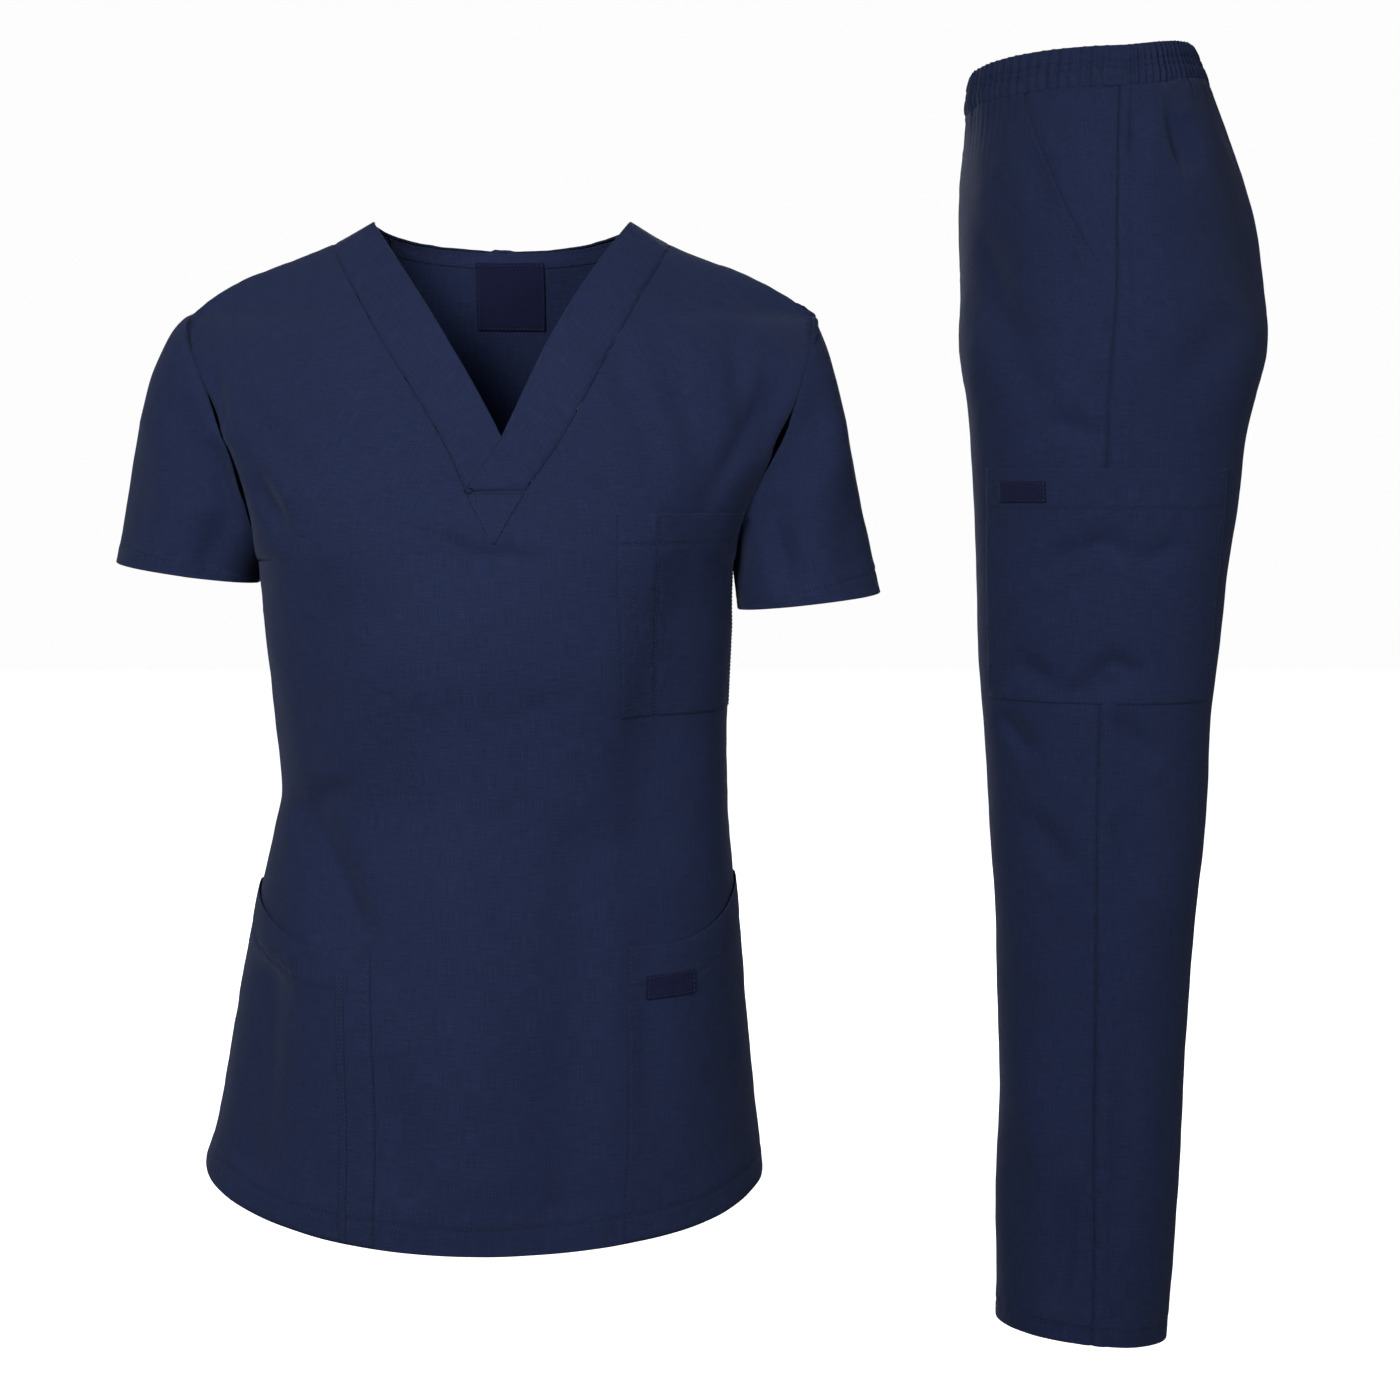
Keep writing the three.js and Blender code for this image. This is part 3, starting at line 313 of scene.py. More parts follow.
class Cloth:
    """A piece of cloth as a grid of points, with its columns running across and its rows running up."""

    def __init__(self, name: str, points: Array, across: Array, up: Array, closed: bool = False) -> None:
        """Keeps the grid.

        Args:
            name: the piece's name.
            points: rows by columns by 3, in mm.
            across: each column's distance from the first in mm.
            up: each row's distance from the lowest in mm.
            closed: whether the last column meets the first.
        """
        self.name = name
        self.points = points
        self.across = across
        self.up = up
        self.closed = closed
        self.seam = np.full(points.shape[:2], FAR)
        self.turn = np.zeros(points.shape[:2])
        self.gather = np.zeros(points.shape[:2])

    def normals(self) -> Array:
        """Returns the outward normals at the grid's points."""
        if self.closed:
            across = np.roll(self.points, -1, 1) - np.roll(self.points, 1, 1)
        else:
            across = np.gradient(self.points, axis=1)
        normals = np.cross(across, np.gradient(self.points, axis=0))
        return normals / np.linalg.norm(normals, axis=-1, keepdims=True)

    def push(self, distance: Array | float) -> Cloth:
        """Moves the points out along their normals by a distance in mm."""
        amount = np.broadcast_to(np.asarray(distance, float), self.points.shape[:2])
        self.points = self.points + self.normals() * amount[..., None]
        return self

    def fold(self, folds: Sequence[Fold]) -> Cloth:
        """Presses the folds in, all measured on the unfolded cloth."""
        normals = self.normals()
        sunk = sum(fold.sink(self.points, normals) for fold in folds)
        self.points = self.points - normals * np.asarray(sunk)[..., None]
        return self

    def distance_to(self, line: Line) -> Array:
        """Returns each point's distance in mm from a line on the piece."""
        if line.axis is ROW:
            at = line.at if line.at >= 0 else self.up[-1] + line.at
            away = np.abs(self.up - at)[:, None]
        else:
            at = line.at if line.at >= 0 else self.across[-1] + line.at
            away = np.abs(self.across - at)[None, :]
        return np.broadcast_to(away, self.points.shape[:2])

    def sew(self, lines: Sequence[Line], pucker: float = 0.25, seed: int = 1) -> Cloth:
        """Draws the cloth in along its seams and stitched lines, with small puckers beside them.

        Args:
            lines: the lines.
            pucker: the puckers' height in mm.
            seed: which unevenness the puckers have.

        Returns:
            The piece itself.
        """
        drawn = np.zeros(self.points.shape[:2])
        for line in lines:
            away = self.distance_to(line)
            drawn += line.depth * np.exp(-((away / line.width) ** 2))
            self.seam = np.minimum(self.seam, away)
        beside = np.exp(-((self.seam / PUCKER_REACH) ** 2)) * (1 - np.exp(-((self.seam / PUCKER_GAP) ** 2)))
        return self.push(pucker * beside * ripple(self.points, PUCKER_LENGTH, seed) - drawn)

    def line(self, axis: Axis, at: float, start: float = 0.0, end: float = 0.0, lift: float = 0.1) -> Array:
        """Follows a row or column of the finished cloth.

        Args:
            axis: whether the line runs along a row or a column.
            at: its distance in mm from the lowest row or first column, or from the other end below zero.
            start: how much is left out at its start in mm.
            end: how much is left out at its end in mm.
            lift: how far above the cloth it lies in mm.

        Returns:
            Its points in mm.
        """
        lifted = self.points + self.normals() * lift
        if axis is ROW:
            fixed, running, grid = self.up, self.across, lifted
        else:
            fixed, running, grid = self.across, self.up, lifted.transpose(1, 0, 2)
        at = at if at >= 0 else fixed[-1] + at
        k = int(np.clip(np.searchsorted(fixed, at) - 1, 0, len(fixed) - 2))
        share = np.clip((at - fixed[k]) / (fixed[k + 1] - fixed[k]), 0, 1)
        whole = lerp(grid[k], grid[k + 1], share)
        if self.closed and axis is ROW:
            whole = np.vstack([whole, whole[:1]])
            running = np.append(running, running[-1] + running[1] - running[0])
        inside = (running >= start) & (running <= running[-1] - end)
        return whole[inside]

    def rulers(self) -> tuple[Array, Array]:
        """Returns the cloth's own measure across and up at each point in mm, for the weave to follow."""
        points = np.concatenate([self.points, self.points[:, :1]], 1) if self.closed else self.points
        steps = np.linalg.norm(np.diff(points, axis=1), axis=-1)
        across = np.pad(np.cumsum(steps, 1), ((0, 0), (1, 0)))
        across = across - across[:, [across.shape[1] // 2]]
        rises = np.linalg.norm(np.diff(points, axis=0), axis=-1)
        return across, np.pad(np.cumsum(rises, 0), ((1, 0), (0, 0)))


@dataclass(frozen=True)
class Unevenness:
    """The slight unevenness of real cloth: long swells, and lower and shorter ones, in mm."""

    long: float
    short: float
    short_height: float
    seed: int
    long_height: float = 0.9

    def give(self, cloth: Cloth) -> Cloth:
        """Moves a piece in and out by the swells, and returns it."""
        swells = self.long_height * ripple(cloth.points, self.long, self.seed)
        return cloth.push(swells + self.short_height * ripple(cloth.points, self.short, self.seed + 1))


RIM_ROUND = 0.32  # how far an edge bulges out, as a share of the wall's thickness
SAME_SPOT = 1e-6  # metres within which two vertices are one


class Sewer:
    """Turns cloth grids into finished closed meshes, in the frame of the garment that they belong to."""

    def __init__(self, place: tuple[float, float] = (0.0, 0.0), turn: float = 0.0) -> None:
        """Keeps the garment's place.

        Args:
            place: where the garment's frame stands in mm.
            turn: how far it is turned in degrees.
        """
        cosine, sine = math.cos(math.radians(turn)), math.sin(math.radians(turn))
        self.rotation = np.array([[cosine, -sine, 0], [sine, cosine, 0], [0, 0, 1]])
        self.shift = np.array([*place, 0.0])

    def world(self, points: Array) -> Array:
        """Returns points of the garment's frame in mm as points of the row's frame in metres."""
        return (points @ self.rotation.T + self.shift) * MM

    def shell(self, cloth: Cloth, thickness: float, material: Material) -> Object:
        """Makes a closed wall of cloth with rounded edges.

        Args:
            cloth: the piece, whose points are the outer face.
            thickness: the wall's thickness in mm.
            material: its finish.

        Returns:
            The new object.
        """
        rows, columns = cloth.points.shape[:2]
        normals = cloth.normals()
        outer = cloth.points
        inner = outer - normals * thickness
        index = np.arange(rows * columns).reshape(rows, columns)
        wide = np.hstack([index, index[:, :1]]) if cloth.closed else index
        spots = np.arange(wide.size).reshape(wide.shape)

        def quads(grid: Array) -> Array:
            """Returns the four corners of each cell of a grid."""
            return np.stack([grid[:-1, :-1], grid[:-1, 1:], grid[1:, 1:], grid[1:, :-1]], -1).reshape(-1, 4)

        count = rows * columns
        faces = [quads(wide), quads(wide)[:, ::-1] + count]
        marks = [quads(spots), quads(spots)[:, ::-1]]
        middle: list[Array] = []
        total = 2 * count
        for loop, inward in self._edges(cloth, wide, spots):
            ring, marked = loop
            edge = (outer + inner).reshape(-1, 3)[ring] / 2
            towards = outer.reshape(-1, 3)[inward] - outer.reshape(-1, 3)[ring]
            towards /= np.linalg.norm(towards, axis=1, keepdims=True) + 1e-9
            middle.append(edge - towards * thickness * RIM_ROUND)
            span = np.arange(len(ring)) + total
            total += len(ring)
            first, second = slice(None, -1), slice(1, None)
            faces.append(np.stack([ring[second], ring[first], span[first], span[second]], 1))
            faces.append(np.stack([span[second], span[first], ring[first] + count, ring[second] + count], 1))
            around = np.stack([marked[second], marked[first], marked[first], marked[second]], 1)
            marks += [around, around]
        points = np.vstack([outer.reshape(-1, 3), inner.reshape(-1, 3), *middle])
        across, up = cloth.rulers()
        measure = np.stack([across.ravel(), up.ravel()], 1) * MM
        obj = new_mesh(f"{cloth.name}_cloth", self.world(points), np.vstack(faces), material)
        layer = obj.data.uv_layers.new(name="cloth")
        layer.data.foreach_set("uv", measure[np.vstack(marks).ravel()].astype(np.float32).ravel())
        both = np.concatenate([cloth.seam.ravel()] * 2)
        self._store(obj, "seam", both * MM, total)
        if cloth.gather.any():
            outward = np.concatenate([(normals @ self.rotation.T).reshape(-1, 3)] * 2)
            self._store(obj, "turn", np.concatenate([cloth.turn.ravel()] * 2), total)
            self._store(obj, "gather", np.concatenate([cloth.gather.ravel()] * 2), total)
            attribute = obj.data.attributes.new("outward", "FLOAT_VECTOR", "POINT")
            padded = np.vstack([outward, np.zeros((total - len(outward), 3))])
            attribute.data.foreach_set("vector", padded.astype(np.float32).ravel())
        close_ring_doubles(obj)
        return obj

    @staticmethod
    def _edges(cloth: Cloth, wide: Array, spots: Array) -> list[tuple[tuple[Array, Array], Array]]:
        """Walks the open edges of a grid with the cloth on the left.

        Args:
            cloth: the piece.
            wide: the grid's vertex numbers, with the first column again where it is closed.
            spots: the numbers of the same places in the rulers' tables.

        Returns:
            For each edge, its vertices and their places in the rulers, and the next vertices inwards.
        """
        low = ((wide[0], spots[0]), wide[1])
        high = ((wide[-1][::-1], spots[-1][::-1]), wide[-2][::-1])
        if cloth.closed:
            return [low, high]
        right = ((wide[:, -1], spots[:, -1]), wide[:, -2])
        left = ((wide[::-1, 0], spots[::-1, 0]), wide[::-1, 1])
        return [low, right, high, left]

    @staticmethod
    def _store(obj: Object, name: str, values: Array, total: int) -> None:
        """Writes a value for each vertex, and zero for those past the end of the values."""
        attribute = obj.data.attributes.new(name, "FLOAT", "POINT")
        attribute.data.foreach_set("value", np.pad(values, (0, total - len(values))).astype(np.float32))


def new_mesh(name: str, points: Array, faces: Array, material: Material) -> Object:
    """Makes a smooth mesh object.

    Args:
        name: the object's name.
        points: its vertices in metres.
        faces: their numbers, four for each face.
        material: its finish.

    Returns:
        The object, linked to the scene.
    """
    mesh = bpy.data.meshes.new(name)
    mesh.from_pydata(points.tolist(), [], faces.tolist())
    mesh.shade_smooth()
    mesh.materials.append(material)
    obj = bpy.data.objects.new(name, mesh)
    bpy.context.scene.collection.objects.link(obj)
    return obj


def close_ring_doubles(obj: Object) -> None:
    """Joins the rim's vertices where two of a piece's edges meet at a corner."""
    work = bmesh.new()
    work.from_mesh(obj.data)
    bmesh.ops.remove_doubles(work, verts=work.verts, dist=SAME_SPOT)
    holes = [edge for edge in work.edges if edge.is_boundary]
    if holes:
        bmesh.ops.holes_fill(work, edges=holes, sides=4)
    work.to_mesh(obj.data)
    work.free()


# Nodes


class Nodes:
    """Adds nodes to one tree and joins them."""

    def __init__(self, tree: NodeTree) -> None:
        """Keeps the tree."""
        self.tree = tree

    def add(
        self, kind: str, inputs: dict[str | int, object] | None = None, **settings: object
    ) -> Node:
        """Adds a node.

        Args:
            kind: the node's type.
            inputs: a value or another node's output for each input, by name or number.
            settings: the node's own settings.

        Returns:
            The node.
        """
        node = self.tree.nodes.new(kind)
        for name, value in settings.items():
            setattr(node, name, value)
        self.fill(node, inputs or {})
        return node

    def fill(self, node: Node, inputs: dict[str | int, object]) -> None:
        """Gives a node's inputs their values, or joins them to other nodes' outputs."""
        for key, value in inputs.items():
            if isinstance(value, NodeSocket):
                self.tree.links.new(value, node.inputs[key])
            else:
                node.inputs[key].default_value = value

    def math(self, operation: str, first: object, second: object = 0.0) -> NodeSocket:
        """Returns the outcome of a Math node."""
        return self.add("ShaderNodeMath", {0: first, 1: second}, operation=operation).outputs[0]

    def scaled(self, value: object, factor: object, added: object) -> NodeSocket:
        """Returns a value times a factor, with something added."""
        inputs = {0: value, 1: factor, 2: added}
        return self.add("ShaderNodeMath", inputs, operation="MULTIPLY_ADD").outputs[0]

    def bell(self, value: object, width: object) -> NodeSocket:
        """Returns 1 where a value is zero, falling off as a bell of that width."""
        near = self.math("DIVIDE", value, width)
        return self.math("EXPONENT", self.math("MULTIPLY", self.math("MULTIPLY", near, near), -1.0))


def node_tree(
    name: str, kind: str, given: dict[str, str], gives: dict[str, str]
) -> tuple[NodeTree, Nodes]:
    """Starts a node group.

    Args:
        name: the group's name.
        kind: its tree type.
        given: its inputs' types by name.
        gives: its outputs' types by name.

    Returns:
        The tree, and what adds nodes to it.
    """
    tree = bpy.data.node_groups.new(name, kind)
    for way, sockets in (("INPUT", given), ("OUTPUT", gives)):
        for label, sort in sockets.items():
            tree.interface.new_socket(name=label, in_out=way, socket_type=f"NodeSocket{sort}")
    return tree, Nodes(tree)


SLUB_STRETCHES = ((1900.0, 55.0, 1.0), (70.0, 1700.0, 1.0))  # of the noise along the warp and the weft
SLUB_HEIGHT = 1.6  # against the threads' own
PUCKER_SCALE = 170.0
SEAM_SHADE_WIDTH = 0.0011  # metres from a seam's middle to the edge of its painted shade line, which stands for the shade in the seam's furrow


def weave_group() -> NodeTree:
    """Builds the group for woven threads, which run along the piece's own ruler.

    Returns:
        A group with a shade that varies from thread to thread, and the threads' height.
    """
    tree, nodes = node_tree(
        "WovenThreads",
        "ShaderNodeTree",
        {"Threads per metre": "Float", "Slub": "Float"},
        {"Shade": "Float", "Height": "Float"},
    )
    given = nodes.add("NodeGroupInput")
    ruler = nodes.add("ShaderNodeUVMap", uv_map="cloth")
    parts = nodes.add("ShaderNodeSeparateXYZ", {0: ruler.outputs[0]})
    turns = nodes.math("MULTIPLY", given.outputs["Threads per metre"], math.pi)
    warp = nodes.math("SINE", nodes.math("MULTIPLY", parts.outputs[0], turns))
    weft = nodes.math("SINE", nodes.math("MULTIPLY", parts.outputs[1], turns))
    height = nodes.math("MULTIPLY", warp, weft)
    slubs = []
    for stretch in SLUB_STRETCHES:
        scaled = nodes.add("ShaderNodeVectorMath", {0: ruler.outputs[0], 1: stretch}, operation="MULTIPLY")
        noise = nodes.add("ShaderNodeTexNoise", {0: scaled.outputs[0], "Scale": 1.0, "Detail": 2.0})
        slubs.append(nodes.math("SUBTRACT", noise.outputs[0], 0.5))
    both = nodes.math("ADD", slubs[0], slubs[1])
    shade = nodes.scaled(both, given.outputs["Slub"], 1.0)
    thick = nodes.scaled(both, SLUB_HEIGHT, height)
    nodes.add("NodeGroupOutput", {"Shade": shade, "Height": thick})
    return tree


def pucker_group() -> NodeTree:
    """Builds the group for small puckers, and for painted shade in a line along seams, where the seam's furrow
    lies.

    Returns:
        A group with a painted shade mask that is 1 on a seam, and the puckers' height.
    """
    tree, nodes = node_tree(
        "SeamPuckersAndPaintedShade",
        "ShaderNodeTree",
        {"Reach": "Float"},
        {"Line": "Float", "Height": "Float"},
    )
    given = nodes.add("NodeGroupInput")
    seam = nodes.add("ShaderNodeAttribute", attribute_name="seam")
    place = nodes.add("ShaderNodeTexCoord")
    beside = nodes.bell(seam.outputs["Fac"], given.outputs["Reach"])
    grain = {0: place.outputs["Object"], "Scale": PUCKER_SCALE, "Detail": 2.0}
    noise = nodes.add("ShaderNodeTexNoise", grain)
    height = nodes.math("MULTIPLY", noise.outputs[0], beside)
    # Line: the mask of the painted seam shade, darkest on the seam itself.
    nodes.add("NodeGroupOutput", {"Line": nodes.bell(seam.outputs["Fac"], SEAM_SHADE_WIDTH), "Height": height})
    return tree


Colour = tuple[float, float, float, float]
WHITE: Colour = (1.0, 1.0, 1.0, 1.0)


def linear(red: int, green: int, blue: int) -> Colour:
    """Returns a colour that is given as on a screen, from 0 to 255, in linear light."""
    return (*(((value / 255 + 0.055) / 1.055) ** 2.4 for value in (red, green, blue)), 1.0)


def new_material(name: str) -> tuple[Material, Nodes, Node]:
    """Starts a material, and returns it with what adds its nodes and its shader."""
    material = bpy.data.materials.new(name)
    material.use_nodes = True
    return material, Nodes(material.node_tree), material.node_tree.nodes["Principled BSDF"]


MIX_FIRST, MIX_SECOND, MIXED = 6, 7, 2  # a colour Mix node's two inputs and its outcome


@dataclass(frozen=True)
class WovenFinish:
    """A woven cloth's finish, with painted shade along its seams."""

    name: str
    colour: Colour
    shade: Colour
    threads: float = 2600.0
    slub: float = 0.9
    roughness: float = 0.82
    sheen: float = 0.12
    weave_bump: float = 0.00006
    pucker_bump: float = 0.0011
    pucker_reach: float = 0.009
    seam_shade: float = -0.22
    cloud_scale: float = 9.0
    thread_roughness: float = 0.03
    specular: float = 0.14
    sheen_roughness: float = 0.45
    sheen_tint: Colour = (0.55, 0.62, 0.9, 1.0)

    def build(self, weave: NodeTree, puckers: NodeTree) -> Material:
        """Builds the material.

        Args:
            weave: the group for woven threads.
            puckers: the group for puckers beside seams.

        Returns:
            The material.
        """
        material, nodes, shader = new_material(self.name)
        weaving = {"Threads per metre": self.threads, "Slub": self.slub}
        threads = nodes.add("ShaderNodeGroup", weaving, node_tree=weave)
        seams = nodes.add("ShaderNodeGroup", {"Reach": self.pucker_reach}, node_tree=puckers)
        place = nodes.add("ShaderNodeTexCoord")
        field_of_noise = {0: place.outputs["Object"], "Scale": self.cloud_scale, "Detail": 3.0}
        clouds = nodes.add("ShaderNodeTexNoise", field_of_noise)
        mixed = nodes.add(
            "ShaderNodeMix",
            {"Factor": clouds.outputs[0], MIX_FIRST: self.colour, MIX_SECOND: self.shade},
            data_type="RGBA",
        )
        # Painted shade: the colour darkens along each seam, by seam_shade where the mask is 1.
        painted_seam_shading = nodes.scaled(seams.outputs["Line"], self.seam_shade, 1.0)
        value = nodes.math("MULTIPLY", threads.outputs["Shade"], painted_seam_shading)
        scaling = {0: mixed.outputs[MIXED], "Scale": value}
        toned = nodes.add("ShaderNodeVectorMath", scaling, operation="SCALE")
        rough = nodes.scaled(threads.outputs["Height"], self.thread_roughness, self.roughness)
        coarse = nodes.add(
            "ShaderNodeBump",
            {"Height": seams.outputs["Height"], "Distance": self.pucker_bump, "Strength": 1.0},
        )
        fine = nodes.add(
            "ShaderNodeBump",
            {
                "Height": threads.outputs["Height"],
                "Distance": self.weave_bump,
                "Strength": 1.0,
                "Normal": coarse.outputs[0],
            },
        )
        nodes.fill(
            shader,
            {
                "Base Color": toned.outputs[0],
                "Roughness": rough,
                "Normal": fine.outputs[0],
                "Specular IOR Level": self.specular,
                "Sheen Weight": self.sheen,
                "Sheen Roughness": self.sheen_roughness,
                "Sheen Tint": self.sheen_tint,
            },
        )
        return material


@dataclass(frozen=True)
class PlainFinish:
    """The finish of thread and floor."""

    name: str
    colour: Colour
    grain: float
    roughness: float
    glow: float = 0.0
    darkest: float = 0.94
    unevenness: float = 0.12

    def build(self) -> Material:
        """Builds the material, its colour uneven with a fine grain, and returns it."""
        material, nodes, shader = new_material(self.name)
        place = nodes.add("ShaderNodeTexCoord")
        noise = nodes.add("ShaderNodeTexNoise", {0: place.outputs["Object"], "Scale": self.grain})
        shade = nodes.scaled(noise.outputs[0], self.unevenness, self.darkest)
        scaling = {0: self.colour[:3], "Scale": shade}
        toned = nodes.add("ShaderNodeVectorMath", scaling, operation="SCALE")
        nodes.fill(shader, {"Base Color": toned.outputs[0], "Roughness": self.roughness})
        if self.glow:
            nodes.fill(shader, {"Emission Color": WHITE, "Emission Strength": self.glow})
        return material


class Finishes:
    """All the set's materials, each built once."""

    def __init__(self) -> None:
        """Builds the shared groups and the materials."""
        weave, puckers = weave_group(), pucker_group()
        self.cloth = WovenFinish("navy_poplin", linear(33, 43, 75), linear(29, 39, 70)).build(weave, puckers)
        self.label = WovenFinish(
            "woven_label", linear(20, 25, 60), linear(16, 21, 52), threads=4200.0, slub=0.3, roughness=0.6
        ).build(weave, puckers)
        self.tape = WovenFinish(
            "neck_tape", linear(40, 49, 86), linear(36, 44, 78), threads=3400.0, slub=0.5
        ).build(weave, puckers)
        self.thread = PlainFinish("sewing_thread", linear(34, 43, 76), 900.0, 0.55).build()
        self.floor = PlainFinish("pale_floor", linear(243, 244, 246), 6.0, 0.9, 1.02).build()


# Stitches and gathers


BEAD = {"Segments": 6, "Rings": 4, "Radius": 1.0}
SLOW_WAVES, SLOW_SHIFT = 9, 0.7  # round the waist, what makes each gather wider or narrower than the next
TALL_WAVES, TALL_SHARE, TALL_MEAN = 23, 0.35, 0.9  # and what makes it higher or lower


def stitch_tree() -> NodeTree:
    """Builds the geometry nodes that lay stitches along lines.

    Returns:
        The tree, with the stitches' pitch, length, radius and thread as named inputs.
    """
    tree, nodes = node_tree(
        "RowsOfStitches",
        "GeometryNodeTree",
        {
            "Geometry": "Geometry",
            **dict.fromkeys(("Pitch", "Length", "Radius"), "Float"),
            "Thread": "Material",
        },
        {"Geometry": "Geometry"},
    )
    given = nodes.add("NodeGroupInput")
    curve = nodes.add("GeometryNodeMeshToCurve", {0: given.outputs["Geometry"]})
    spacing = {"Curve": curve.outputs[0], "Length": given.outputs["Pitch"]}
    resampled = nodes.add("GeometryNodeResampleCurve", spacing, mode="LENGTH")
    tangent = nodes.add("GeometryNodeInputTangent")
    turned = nodes.add("FunctionNodeAlignRotationToVector", {"Vector": tangent.outputs[0]}, axis="X")
    half, radius = nodes.math("MULTIPLY", given.outputs["Length"], 0.5), given.outputs["Radius"]
    size = nodes.add("ShaderNodeCombineXYZ", {0: half, 1: radius, 2: radius})
    bead = nodes.add("GeometryNodeMeshUVSphere", BEAD)
    placed = nodes.add(
        "GeometryNodeInstanceOnPoints",
        {
            "Points": resampled.outputs[0],
            "Instance": bead.outputs[0],
            "Rotation": turned.outputs[0],
            "Scale": size.outputs[0],
        },
    )
    real = nodes.add("GeometryNodeRealizeInstances", {0: placed.outputs[0]})
    done = nodes.add(
        "GeometryNodeSetMaterial", {"Geometry": real.outputs[0], "Material": given.outputs["Thread"]}
    )
    nodes.add("NodeGroupOutput", {"Geometry": done.outputs[0]})
    return tree


def gather_tree() -> NodeTree:
    """Builds the geometry nodes that gather cloth into waves round the waist.

    Returns:
        The tree, with the waves' number and height and the cloth's material as named inputs.
    """
    tree, nodes = node_tree(
        "WaistGathers",
        "GeometryNodeTree",
        {"Geometry": "Geometry", "Count": "Float", "Depth": "Float", "Cloth": "Material"},
        {"Geometry": "Geometry"},
    )
    given = nodes.add("NodeGroupInput")
    turn, weight, outward = (
        nodes.add("GeometryNodeInputNamedAttribute", {"Name": name}, data_type=kind).outputs[0]
        for name, kind in (("turn", "FLOAT"), ("gather", "FLOAT"), ("outward", "FLOAT_VECTOR"))
    )
    slow, tall = (
        nodes.math("SINE", nodes.math("MULTIPLY", turn, 2 * math.pi * waves))
        for waves in (SLOW_WAVES, TALL_WAVES)
    )
    angle = nodes.math("MULTIPLY", nodes.math("MULTIPLY", turn, 2 * math.pi), given.outputs["Count"])
    wave = nodes.math("COSINE", nodes.scaled(slow, SLOW_SHIFT, angle))
    tall = nodes.scaled(tall, TALL_SHARE, TALL_MEAN)
    height = nodes.math("MULTIPLY", nodes.math("MULTIPLY", wave, tall), given.outputs["Depth"])
    scaling = {0: outward, "Scale": nodes.math("MULTIPLY", height, weight)}
    move = nodes.add("ShaderNodeVectorMath", scaling, operation="SCALE")
    moved = nodes.add(
        "GeometryNodeSetPosition", {"Geometry": given.outputs["Geometry"], "Offset": move.outputs[0]}
    )
    real = nodes.add("GeometryNodeRealizeInstances", {0: moved.outputs[0]})
    done = nodes.add(
        "GeometryNodeSetMaterial", {"Geometry": real.outputs[0], "Material": given.outputs["Cloth"]}
    )
    nodes.add("NodeGroupOutput", {"Geometry": done.outputs[0]})
    return tree


def run_nodes(obj: Object, tree: NodeTree, values: dict[str, object]) -> None:
    """Runs a geometry tree on an object and gives it the outcome as a plain smooth mesh.

    Args:
        obj: the object.
        tree: the geometry nodes.
        values: a value for each named input.
    """
    modifier = obj.modifiers.new("nodes", "NODES")
    modifier.node_group = tree
    for item in tree.interface.items_tree:
        if item.item_type == "SOCKET" and item.in_out == "INPUT" and item.name in values:
            modifier[item.identifier] = values[item.name]
    obj.update_tag()
    bpy.context.view_layer.update()
    evaluated = obj.evaluated_get(bpy.context.evaluated_depsgraph_get())
    mesh = bpy.data.meshes.new_from_object(evaluated)
    obj.modifiers.clear()
    old, obj.data = obj.data, mesh
    bpy.data.meshes.remove(old)
    mesh.name = obj.name
    mesh.shade_smooth()


@dataclass
class Stitches:
    """The stitched lines of one garment, laid in its sewer's frame, with the stitches' sizes in mm."""

    name: str
    sewer: Sewer
    tree: NodeTree
    thread: Material
    pitch: float = 2.7
    length: float = 2.1
    radius: float = 0.24
    lines: list[Array] = field(default_factory=list)

    def along(self, *lines: Array) -> None:
        """Takes lines of points in mm in the garment's frame."""
        self.lines += [line for line in lines if len(line) > 1]

    def build(self) -> None:
        """Lays the stitches."""
        points = np.vstack([self.sewer.world(line) for line in self.lines])
        edges = []
        start = 0
        for line in self.lines:
            edges += [(start + k, start + k + 1) for k in range(len(line) - 1)]
            start += len(line)
        mesh = bpy.data.meshes.new(self.name)
        mesh.from_pydata(points.tolist(), edges, [])
        obj = bpy.data.objects.new(self.name, mesh)
        bpy.context.scene.collection.objects.link(obj)
        sizes = {"Pitch": self.pitch * MM, "Length": self.length * MM, "Radius": self.radius * MM}
        run_nodes(obj, self.tree, {**sizes, "Thread": self.thread})
        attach(obj, BODY)
        log.info("%s: %d lines", self.name, len(self.lines))


@dataclass(frozen=True)
class Cut:
    """The flat cut of a piece: its width and length in metres, and its area where it isn't a rectangle."""

    width: float
    length: float
    area: float | None = None


def hand_over(obj: Object) -> None:
    """Lets a finished cloth piece stand for the CAD node of its name, and logs its faces, area and how far it
    stands past the node's box.

    Args:
        obj: the piece, named as the node.
    """
    node = obj.name.removesuffix("_cloth")
    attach(obj, BODY)
    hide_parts(node)
    corners = np.array([vertex.co for vertex in obj.data.vertices])
    low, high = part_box(node)
    proud = max(np.max(np.array(low) - corners.min(0)), np.max(corners.max(0) - np.array(high)))
    faces = obj.data.polygons
    half = sum(face.area for face in faces) / 2
    log.info("%s: %d faces, %.4f m2, %.1f mm past its box", obj.name, len(faces), half, proud / MM)


@dataclass
class Garment:
    """What both garments share: their finishes, stitches and frame, and how their pieces are finished."""

    finishes: Finishes
    stitches: Stitches
    sewer: Sewer

    def gather(self, obj: Object, material: Material) -> None:
        """Gathers a piece. A garment that has gathered pieces says how."""

    def finish(
        self, cloth: Cloth, thickness: float, cut: Cut, held: str, finish: Finish = Finish.CLOTH
    ) -> None:
        """Makes a piece's wall, gathers it where it is to be gathered, and hands it over.

        Args:
            cloth: the piece.
            thickness: its wall in mm.
            cut: its flat cut; not used.
            held: how it is held; not used.
            finish: its material slot.
        """
        material = getattr(self.finishes, finish.value)
        obj = self.sewer.shell(cloth, thickness, material)
        if cloth.gather.any():
            self.gather(obj, material)
        hand_over(obj)


# The top's surface


